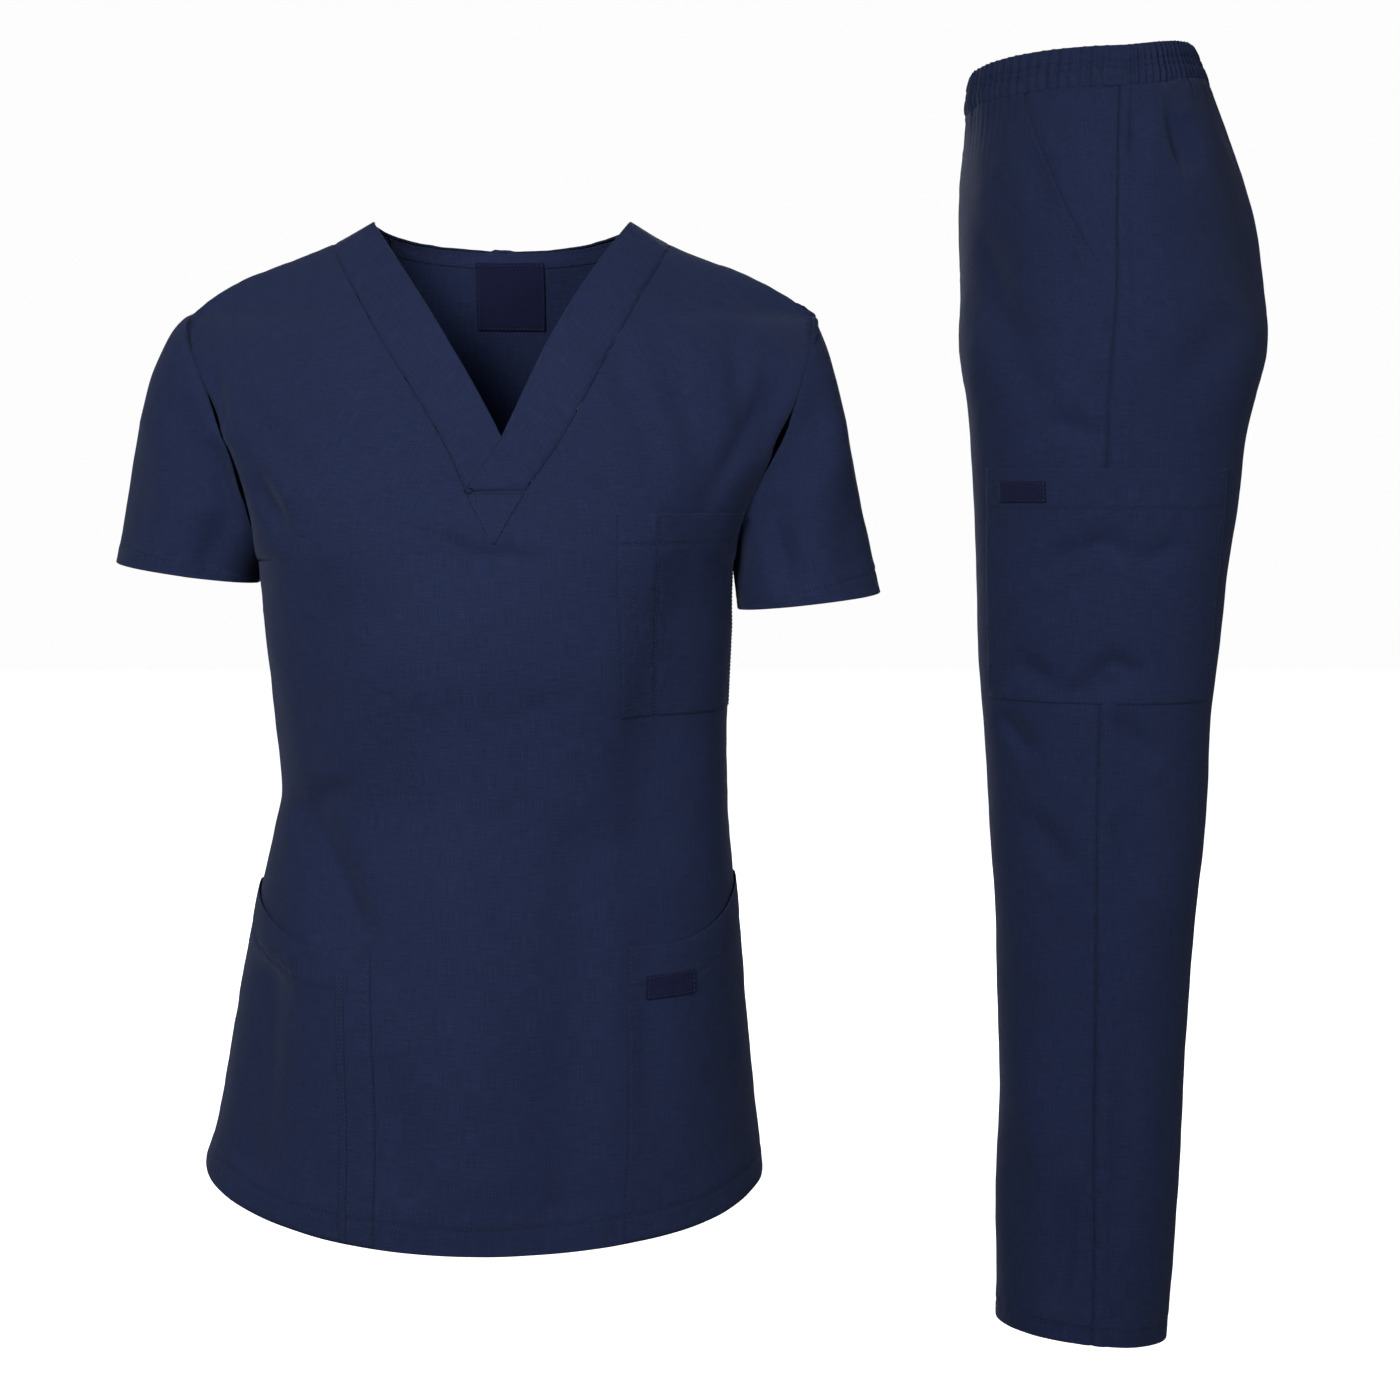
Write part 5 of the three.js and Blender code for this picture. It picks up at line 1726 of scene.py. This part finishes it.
@dataclass
class NeckInside:
    """The tape along the inside of the back neck and the blank label that hangs from it."""

    top: ScrubTop
    tape_height: float = 11
    tape_half: float = 84
    label_half: float = 25
    label_top: float = -22
    label_height: float = 48
    under: float = 2.0
    tape_cut: Cut = Cut(0.19, 0.011)
    label_cut: Cut = Cut(0.050, 0.048)

    def build(self) -> None:
        """Builds and dresses both pieces."""
        form = self.top.form
        across = stops(2 * self.tape_half, 3.0)
        x = self.tape_half - across
        edge = form.ridge(x, BACK)[0]
        up = stops(self.tape_height, 2.0)
        z = edge[None, :] - self.tape_height - 1.2 + up[:, None]
        self.piece("back_neck_tape", x, z, across, up, 0.5, 0.8, Finish.TAPE, self.tape_cut, 1.3)
        across = stops(2 * self.label_half, 2.4)
        x = self.label_half - across
        up = stops(self.label_height, 2.4)
        z = (self.label_top - self.label_height + up[:, None]) * np.ones((1, len(across)))
        self.piece("neck_label", x, z, across, up, 1.6, 0.6, Finish.LABEL, self.label_cut, 1.4)

    def piece(
        self,
        name: str,
        x: Array,
        z: Array,
        across: Array,
        up: Array,
        gap: float,
        thickness: float,
        finish: Finish,
        cut: Cut,
        inset: float,
    ) -> None:
        """Makes a piece that lies inside the back panel and shows its face to the front.

        Args:
            name: its node's name.
            x: its columns' places, from the wearer's left to the right.
            z: its points' levels.
            across: its columns' distances in mm.
            up: its rows' distances in mm.
            gap: how far it lies in front of the back panel's inner face in mm.
            thickness: its wall in mm.
            finish: its material slot.
            cut: its flat cut.
            inset: its stitches' distance from its edges in mm.
        """
        form = self.top.form
        wide = np.broadcast_to(x[None, :], z.shape)
        points = form.point(form.share(wide, z, BACK), z, BACK)
        behind = Cloth(name, points, across, up)
        self.top.hang(behind).push(-self.under - gap)
        facing = Cloth(name, behind.points[:, ::-1], across, up)
        facing.sew([Line(ROW, inset, 0.2, 1.0)], pucker=0.1)
        edge_stitches(facing, self.top.stitches, inset)
        self.top.finish(facing, thickness, cut, "laid", finish)


# The trousers' surface


HIPS = Profile(
    "z seam ahead behind side",
    [
        (150, 6.5, 111, 50, 133),
        (109, 5.5, 116, 69, 142),
        (79, 5, 117, 82, 153),
        (48, 4.5, 119, 93, 163),
        (3, 4.5, 120.5, 105, 173),
        (-50, 5, 119, 111, 178),
        (-89, 2.5, 112.5, 111, 178),
        (-120, 1, 107, 107, 176),
    ],
)
LEG = Profile(
    "z seam ahead behind middle half",
    [
        (150, 6.5, 111, 50, 88, 88),
        (-60, 4.5, 116, 111, 88, 88),
        (-120, 1, 105, 106, 88, 88),
        (-151, 0.5, 101, 100, 89, 86.5),
        (-196, 0, 97, 97, 89.5, 85),
        (-270, -1.5, 92, 90, 89, 82),
        (-345, -2, 88.5, 82.5, 88.5, 78),
        (-421, -2.5, 82, 80.5, 88, 74),
        (-497, -2, 76.5, 75.5, 88, 71),
        (-574, -1, 74, 69, 88, 68),
        (-651, -0.5, 73, 65, 89, 66),
        (-730, 0.5, 74.5, 61, 90, 64),
        (-840, 0.5, 74, 55, 92, 62),
    ],
)


@dataclass
class TrouserForm:
    """The outer form of the trousers, in a frame whose -X is the wearer's front and -Y the wearer's left."""

    waistband_height: float = 29
    crotch: float = -120
    rise_curve: float = 112
    crotch_soft: float = 0.035
    hem: float = -832
    hem_rise: float = 11
    hem_lean: float = 4
    slant_open: float = 0.39
    slant_from: float = 5 / 9
    rise_power: float = 1.8
    hips: Profile = HIPS
    leg: Profile = LEG

    def waist_seam(self, angle: Array) -> Array:
        """Returns the waist seam's level at angles from the front."""
        return 98 + 2 * np.sin(angle) ** 2 + 15 * np.clip(-np.cos(angle), 0, 1) ** 1.5

    def _ring(self, table: Profile, angle: Array, z: Array) -> Array:
        """Returns a ring's place along X at angles from the front."""
        ahead = np.cos(angle) > 0
        reach = np.where(ahead, table.read("ahead", z), table.read("behind", z))
        return table.read("seam", z) - reach * squared(np.cos(angle))

    def hip_point(self, angle: Array, z: Array) -> tuple[Array, Array]:
        """Returns points of the left half of the hips at angles from the front through the outseam."""
        return self._ring(self.hips, angle, z), -self.hips.read("side", z) * squared(np.sin(angle))

    def leg_share(self, z: Array) -> Array:
        """Returns how far a level has gone over from the hips' ring to the leg's."""
        t = (self.crotch + self.rise_curve - z) / self.rise_curve
        t = np.clip(1 - self.crotch_soft * np.logaddexp(0, (1 - t) / self.crotch_soft), 0, 1)
        return lerp(1 - np.sqrt(1 - t * t), t**3, 0.4)

    @staticmethod
    def fullness(share: Array) -> Array:
        """Returns what keeps the silhouette full where the hips' ring goes over to the leg's."""
        angle = np.linspace(0, math.pi / 2, 25)
        known = np.linspace(0, 1, 101)
        widest = ((1 - known)[:, None] * np.sin(angle) + known[:, None] * np.sin(2 * angle)).max(1)
        return 1 / np.interp(share, known, widest)

    def point(self, inward: Array, z: Array, face: Face, side: Side) -> Array:
        """Finds points of a leg panel.

        Args:
            inward: shares from 0 at the outseam to 1 at the centre seam or the inseam.
            z: levels.
            face: the front or the back.
            side: the wearer's side.

        Returns:
            The points in mm in the trousers' frame.
        """
        inward, z = np.broadcast_arrays(np.asarray(inward, float), np.asarray(z, float))
        sign = face.value
        share = self.leg_share(z)
        hip_x, hip_y = self.hip_point(math.pi / 2 + sign * math.pi / 2 * inward, z)
        angle = math.pi / 2 + sign * math.pi * inward
        leg_x = self._ring(self.leg, angle, z)
        leg_y = -self.leg.read("middle", z) - self.leg.read("half", z) * squared(np.sin(angle))
        seam = lerp(self.hips.read("seam", z), self.leg.read("seam", z), share)
        x = seam + (lerp(hip_x, leg_x, share) - seam) * self.fullness(share)
        y = np.where((inward >= 1) & (z >= self.crotch), 0, lerp(hip_y, leg_y, share))
        return np.stack([x, side.value * y, z], -1)

    def slant(self, rise: Array) -> Array:
        """Returns where a front panel starts at shares of the rise, to leave the slant pocket bare."""
        step = (rise - self.slant_from) / (1 - self.slant_from)
        return np.where(step < 0, 0, np.maximum(0.004, self.slant_open * step))


TROUSER_FOLDS = (
    bend((-53, -93), (-78, -62), (-95, 11), width=16, depth=1.9, steep=0.5),
    bend((-40, -140), (-88, -62), (-106, -20), width=14, depth=1.3, steep=0.6),
    bend((-1, -157), (-30, -141), (-52, -156), width=9, depth=1.6, steep=0.5),
    bend((25, -240), (0, -226), (-27, -236), (-49, -253), width=10, depth=1.7, steep=0.45),
    bend((31, -320), (8, -311), (-14, -326), width=9, depth=1.7, steep=0.5),
    bend((-49, -386), (-76, -351), width=9, depth=1.9, steep=0.5),
    bend((41, -386), (4, -349), width=10, depth=1.9, steep=0.5),
    bend((-8, -500), (-7, -640), (-8, -800), width=24, depth=1.7, steep=0.35),
    bend((-62, -520), (-52, -640), (-60, -790), width=14, depth=1.0, steep=0.6),
    crease(34, -356, 66, -400, 10, 1.0, BACK),
    crease(52, -556, 76, -520, 9, 1.3, BACK),
    crease(20, -600, 34, -780, 15, 1.2, BACK),
    bend((56, 32), (46, 60), (38, 90), width=7, depth=1.7, steep=0.5),
    bend((100, 50), (84, 76), (72, 94), width=8, depth=1.5, steep=0.5),
    trough(40, 60, 62, 0, 14, 1.2),
    trough(-80, -10, -26, -100, 16, 4, BACK),
    trough(40, 78, 66, 6, 12, 4, BACK),
    trough(-64, -330, 30, -300, 15, 4, BACK),
    trough(-50, -410, 40, -440, 15, 4, BACK),
    trough(-10, -600, -36, -770, 15, 5, BACK),
    crease(-84, 40, -60, -20, 12, 0.8),
    crease(-60, 60, -40, 0, 9, 1.2),
    crease(14, 84, 22, 40, 7, 1.8),
    crease(50, 80, 62, 40, 7, 1.6),
    crease(-34, -340, 30, -316, 9, 1.8),
    crease(-66, -310, -30, -330, 9, 1.4),
    crease(20, -240, 60, -224, 9, 1.2),
    crease(-56, -420, -20, -470, 11, 1.6),
    crease(10, -420, 36, -480, 11, 1.4),
    crease(-60, -560, -48, -700, 12, -1.4),
    crease(24, -560, 20, -740, 12, 1.2),
    crease(-18, -700, -26, -800, 7, 1.8),
    crease(50, -120, 90, -60, 16, 1.6),
    crease(-20, -420, 30, -470, 12, 2.0, BACK),
    crease(-70, -110, -30, -160, 12, 2.0, BACK),
    crease(40, -140, 80, -90, 14, 2.0, BACK),
)


LEAST_GATHER = 0.004  # a share below which cloth isn't gathered at all


@dataclass
class ScrubTrousers(Garment):
    """The trousers: leg panels, slant pockets, gathered waistband, cargo pocket and its blank label."""

    gathers: NodeTree
    form: TrouserForm
    unevenness: Unevenness = Unevenness(110, 32, 0.2, 51)
    pitch: float = 3.9
    cloth: float = 1.5
    hem: float = 13
    gather_count: float = 92
    gather_depth: float = 1.15
    gather_share: float = 0.65
    gather_reach: float = 26
    allowance: float = 9
    rise: float = 218.0
    panel_width: float = 205.0
    slant_size: tuple[float, float] = (60, 150)
    slant_rows: tuple[float, float] = (1.6, 9.5)
    slant_under: float = 0.012
    elastic_rows: tuple[float, float] = (13.0, 18.0)
    elastic_columns: int = 760
    elastic_round: float = 860
    cargo_levels: tuple[float, float] = (-341, -172)
    cargo_width: float = 178
    cargo_hem: float = 28.0
    edge_row: float = 1.8
    front_cut: Cut = Cut(0.33, 0.95, 0.24)
    back_cut: Cut = Cut(0.33, 0.98, 0.25)
    slant_cut: Cut = Cut(0.09, 0.16, 0.0075)
    band_cut: Cut = Cut(0.95, 0.033)
    cargo_cut: Cut = Cut(0.19, 0.20)
    label_cut: Cut = Cut(0.033, 0.016)

    def build(self) -> None:
        """Builds and dresses every piece of the trousers."""
        for side in Side:
            name = side.name.lower()
            self.leg_panel(f"leg_front_{name}", FRONT, side, self.front_cut)
            self.leg_panel(f"leg_back_{name}", BACK, side, self.back_cut)
            self.slant_piece(f"slant_pocket_{name}", side)
        self.waistband()
        self.cargo()

    def gather(self, obj: Object, material: Material) -> None:
        """Gathers a piece into waves round the waist, as far as its own attribute says."""
        depth = self.gather_depth * MM
        run_nodes(obj, self.gathers, {"Count": self.gather_count, "Depth": depth, "Cloth": material})

    def hang(self, cloth: Cloth) -> Cloth:
        """Gives a piece the trousers' folds and unevenness, and returns it."""
        return self.unevenness.give(cloth.fold(TROUSER_FOLDS))

    def gathered(self, angle: Array, z: Array) -> Array:
        """Returns the share of the gathers that a leg panel takes, at angles from the front and levels."""
        below = np.abs(self.form.waist_seam(angle) - z)
        return self.gather_share * np.exp(-((below / self.gather_reach) ** 1.4))

    def levels(self) -> tuple[Array, Array]:
        """Returns a leg panel's rows: distances up, and shares of the leg and then, past 1, of the rise."""
        leg = self.form.crotch - self.form.hem
        low = stops(leg, self.pitch, [self.hem])
        high = stops(self.rise, self.pitch)[1:]
        return np.concatenate([low, leg + high]), np.concatenate([low / leg, 1 + high / self.rise])

    def leg_panel(self, name: str, face: Face, side: Side, cut: Cut) -> None:
        """Makes a leg panel from the waist seam to the hem.

        Args:
            name: its node's name.
            face: the front or the back.
            side: the wearer's side.
            cut: its flat cut.
        """
        form = self.form
        up, part = self.levels()
        width = self.panel_width
        across = stops(width, self.pitch, [self.allowance])
        share = (across / width)[None, :]
        rise = np.clip(part - 1, 0, 1)[:, None]
        first = form.slant(rise ** (1 / form.rise_power)) if face is FRONT else 0 * rise
        inward = lerp(first, 1.0, share)
        angle = math.pi / 2 + face.value * math.pi / 2 * inward
        raised = form.hem_rise * (1 + np.cos(math.pi * inward)) / 2
        hem = form.hem + raised - face.value * form.hem_lean * np.sin(math.pi * inward)
        leg_z = lerp(hem, form.crotch, np.clip(part, 0, 1)[:, None])
        z = np.where(rise > 0, lerp(form.crotch, form.waist_seam(angle), rise), leg_z)
        points = form.point(inward, z, face, side)
        turn = angle / (2 * math.pi) * side.value
        gather = self.gathered(angle, z) * (rise > 0)
        reversed_columns = (face is FRONT) == (side is LEFT)
        seam_at = 0.0
        if reversed_columns:
            points, turn, gather = points[:, ::-1], turn[:, ::-1], gather[:, ::-1]
            across = width - across[::-1]
            seam_at = width
        panel = Cloth(name, points, across, up)
        panel.turn, panel.gather = turn, np.where(gather > LEAST_GATHER, gather, 0)
        self.hang(panel)
        if face is BACK:
            # The seam allowances are pressed to the back, and show as a low step beside the outseam.
            beside = np.abs(panel.across - seam_at)[None, :]
            step = 1 - smooth(beside, self.allowance - 0.9, self.allowance + 0.9)
            panel.push(0.75 * step * np.ones((len(up), 1)))
        lines = [Line(COLUMN, 0, 0.6, 1.9), Line(COLUMN, width, 0.6, 1.9)]
        lines += [Line(ROW, self.hem), Line(ROW, up[-1], 0.9, 2.4)]
        panel.sew(lines, pucker=0.4, seed=61)
        self.stitches.along(panel.line(ROW, self.hem, 1, 1))
        if face is FRONT:
            slant_low = form.crotch - form.hem + self.rise * form.slant_from**form.rise_power
            near, far = (width - row if reversed_columns else row for row in self.slant_rows)
            self.stitches.along(
                panel.line(COLUMN, far, slant_low + 6, 4),
                panel.line(COLUMN, near, slant_low, 2),
            )
        self.finish(panel, self.cloth, cut, "hung")

    def slant_piece(self, name: str, side: Side) -> None:
        """Makes the piece of hip behind a slant opening. It reaches under the front panel's edge.

        Args:
            name: its node's name.
            side: the wearer's side.
        """
        form = self.form
        low = form.slant_from**form.rise_power
        across, up = (stops(size, self.pitch) for size in self.slant_size)
        rise = lerp(low, 1.0, up / up[-1])[:, None]
        limit = form.slant(rise ** (1 / form.rise_power)) + self.slant_under
        inward = limit * (across / across[-1])[None, :]
        angle = math.pi / 2 - math.pi / 2 * inward
        z = lerp(form.crotch, form.waist_seam(angle), rise)
        points = form.point(inward, z, FRONT, side)
        turn = angle / (2 * math.pi) * side.value
        gather = self.gathered(angle, z)
        under = smooth(across, across[-1] - 9, across[-1])
        if side is LEFT:
            points, turn, gather, under = points[:, ::-1], turn[:, ::-1], gather[:, ::-1], under[::-1]
        piece = Cloth(name, points, across, up)
        piece.turn, piece.gather = turn, np.where(gather > LEAST_GATHER, gather, 0)
        self.hang(piece)
        seam = float(across[-1]) if side is LEFT else 0.0
        piece.sew([Line(COLUMN, seam, 0.8, 2.2), Line(ROW, up[-1], 0.9, 2.4)], seed=63)
        piece.push(-0.5 - 1.3 * under[None, :] * np.ones((len(up), 1)))
        self.finish(piece, 1.2, self.slant_cut, "hung")

    def waistband(self) -> None:
        """Makes the gathered band round the elastic, with two rows of stitches through it."""
        form = self.form
        columns = self.elastic_columns
        turn = 2 * math.pi * np.arange(columns) / columns
        angle = turn - 0.16 * np.sin(turn)
        up = stops(form.waistband_height, 2.0, self.elastic_rows)
        z = form.waist_seam(angle)[None, :] - 1.4 + up[:, None]
        hip_x, hip_y = form.hip_point(angle, z)
        points = np.stack([hip_x, hip_y, z], -1)
        across = turn / (2 * math.pi) * self.elastic_round
        band = Cloth("waistband", points, across, up, closed=True)
        middle = 0.8 * (1 - np.abs(2 * up / up[-1] - 1) ** 2)[:, None] * np.ones((1, columns))
        band.push(middle)
        lines = [Line(ROW, row, 0.9, 1.8) for row in self.elastic_rows]
        band.sew([*lines, Line(ROW, 0, 1.0, 2.2)], pucker=0.1)
        band.turn = np.broadcast_to((angle / (2 * math.pi))[None, :], z.shape)
        ends = 1 - 0.35 * (2 * up / up[-1] - 1) ** 4
        band.gather = ends[:, None] * np.ones((1, columns))
        wave = self.wave(np.append(angle, angle[0]) / (2 * math.pi))
        for row in self.elastic_rows:
            line = band.line(ROW, row)
            out = line[:, :2] / np.linalg.norm(line[:, :2], axis=1, keepdims=True)
            line[:, :2] += out * (wave * self.gather_depth)[:, None]
            self.stitches.along(line)
        self.finish(band, 1.5, self.band_cut, "gathered")

    def wave(self, turn: Array) -> Array:
        """Returns the gathers' height, as the geometry nodes make it, at shares of a turn."""
        full = 2 * math.pi * turn
        angle = full * self.gather_count + SLOW_SHIFT * np.sin(SLOW_WAVES * full)
        return np.cos(angle) * (TALL_MEAN + TALL_SHARE * np.sin(TALL_WAVES * full))

    def on_left_leg(self, around: Array, z: Array) -> Array:
        """Returns points of the left leg at shares round from the outseam, below zero ahead of it."""
        front = self.form.point(np.abs(around), z, FRONT, LEFT)
        back = self.form.point(np.abs(around), z, BACK, LEFT)
        return np.where((around < 0)[..., None], front, back)

    def leg_patch(
        self,
        name: str,
        levels: tuple[float, float],
        ahead: tuple[float, float],
        behind: tuple[float, float],
        width: float,
        pitch: float,
        lines: tuple[Sequence[float], Sequence[float]] = ((), ()),
    ) -> Cloth:
        """Makes a patch in the left leg's face.

        Args:
            name: its node's name.
            levels: its bottom and its top.
            ahead: its front edge at the top and the bottom, as shares round from the outseam.
            behind: its back edge likewise.
            width: its width in mm.
            pitch: the grid's pitch in mm.
            lines: stitched lines across and up.

        Returns:
            The patch.
        """
        low, high = levels
        across, up = stops(width, pitch, lines[0]), stops(high - low, pitch, lines[1])
        down = (1 - up / up[-1])[:, None]
        around = lerp(lerp(*ahead, down), lerp(*behind, down), (across / width)[None, :])
        z = (low + up[:, None]) * np.ones_like(around)
        patch = Cloth(name, self.on_left_leg(around, z), across, up)
        return self.hang(patch)

    def cargo(self) -> None:
        """Makes the cargo pocket across the left outseam, and its blank label."""
        edge, rows = self.edge_row, ((), (-self.cargo_hem,))
        pocket = self.leg_patch(
            "cargo_pocket", self.cargo_levels, (-0.33, -0.36), (0.325, 0.38), self.cargo_width, 3.3, rows
        )
        lift_patch(pocket, 1.1, BUT_ITS_MOUTH, 1.6)
        pocket.sew([Line(ROW, -self.cargo_hem, 0.35, 1.4)], pucker=0.15, seed=71)
        self.stitches.along(
            pocket.line(ROW, edge, edge, edge),
            pocket.line(COLUMN, edge, edge, 1.5),
            pocket.line(COLUMN, -edge, edge, 1.5),
            pocket.line(ROW, -self.cargo_hem, edge, edge),
        )
        self.finish(pocket, 0.9, self.cargo_cut, "laid")
        label = self.leg_patch("cargo_label", (-196, -181), (-0.268, -0.268), (-0.13, -0.13), 33, 1.8)
        label.push(2.4)
        lift_patch(label, 0.8)
        edge_stitches(label, self.stitches, 1.1)
        self.finish(label, 0.6, self.label_cut, "laid", Finish.LABEL)


# The studio


@dataclass(frozen=True)
class Lamp:
    """A square soft light: its place, the point that it faces and its side in metres, and its watts."""

    name: str
    at: tuple[float, float, float]
    aim: tuple[float, float, float]
    size: float
    power: float

    def hang(self) -> None:
        """Hangs the light."""
        data = bpy.data.lights.new(self.name, "AREA")
        data.shape = "SQUARE"
        data.size = self.size
        data.energy = self.power
        lamp = bpy.data.objects.new(self.name, data)
        lamp.location = self.at
        lamp.rotation_euler = (Vector(self.aim) - Vector(self.at)).to_track_quat("-Z", "Y").to_euler()
        bpy.context.scene.collection.objects.link(lamp)


@dataclass(frozen=True)
class Studio:
    """The floor, the light and the camera, in metres."""

    floor_level: float = -0.93
    floor_size: float = 14.0
    lens: float = 61.71
    camera_at: tuple[float, float, float] = (0.1385, -1.704, -0.166)
    camera_tilt: float = 84.289
    surround_seen: float = 0.9
    surround_light: float = 0.08
    lamps: tuple[Lamp, ...] = (
        Lamp("key_light", (-0.5, -1.55, 0.42), (0.14, 0.0, -0.44), 0.5, 21.5),
        Lamp("fill_light", (1.2, -1.85, 0.15), (0.5, 0.0, -0.22), 0.8, 14.5),
        Lamp("top_light", (0.2, -0.2, 2.0), (0.15, 0.1, -0.3), 1.6, 0.8),
        Lamp("back_light", (0.3, 2.6, 0.5), (0.2, 0.0, -0.35), 2.2, 34.0),
        Lamp("side_light", (-2.4, 1.4, 0.4), (0.0, 0.0, -0.35), 1.8, 5.0),
    )

    def build(self, floor_material: Material) -> None:
        """Builds the studio.

        Args:
            floor_material: the floor's finish.
        """
        half = self.floor_size / 2
        level = self.floor_level
        corners = [(-half, -half, level), (half, -half, level), (half, half, level), (-half, half, level)]
        floor = new_mesh("floor", np.array(corners), np.array([[0, 1, 2, 3]]), floor_material)
        floor.visible_diffuse = False
        floor.visible_glossy = False
        for lamp in self.lamps:
            lamp.hang()
        self.world()
        data = bpy.data.cameras.new("camera")
        data.lens = self.lens
        data.sensor_width = 36.0
        camera = bpy.data.objects.new("camera", data)
        camera.location = self.camera_at
        camera.rotation_euler = (math.radians(self.camera_tilt), 0, 0)
        bpy.context.scene.collection.objects.link(camera)
        bpy.context.scene.camera = camera
        bpy.context.scene.view_settings.view_transform = "Standard"

    def world(self) -> None:
        """Sets the surround: white to look at, and a soft grey light."""
        world = bpy.data.worlds.new("studio")
        world.use_nodes = True
        nodes = Nodes(world.node_tree)
        seen = nodes.add("ShaderNodeLightPath").outputs["Is Camera Ray"]
        strength = nodes.scaled(seen, self.surround_seen, self.surround_light)
        nodes.fill(world.node_tree.nodes["Background"], {"Color": WHITE, "Strength": strength})
        bpy.context.scene.world = world


def main() -> None:
    """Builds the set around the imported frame, in order."""
    logging.basicConfig(level=logging.INFO, format="%(name)s: %(message)s")
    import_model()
    finishes = Finishes()
    stitch_nodes = stitch_tree()
    sewer = Sewer()
    stitches = Stitches("top_stitches", sewer, stitch_nodes, finishes.thread)
    top = ScrubTop(finishes, stitches, sewer, TorsoForm())
    top.build()
    TopPockets(top).build()
    NeckInside(top).build()
    stitches.build()
    turned = Sewer((455, 176), -9.4)
    trouser_stitches = Stitches("trouser_stitches", turned, stitch_nodes, finishes.thread)
    ScrubTrousers(finishes, trouser_stitches, turned, gather_tree(), TrouserForm()).build()
    trouser_stitches.build()
    Studio().build(finishes.floor)


if __name__ == "__main__":
    main()
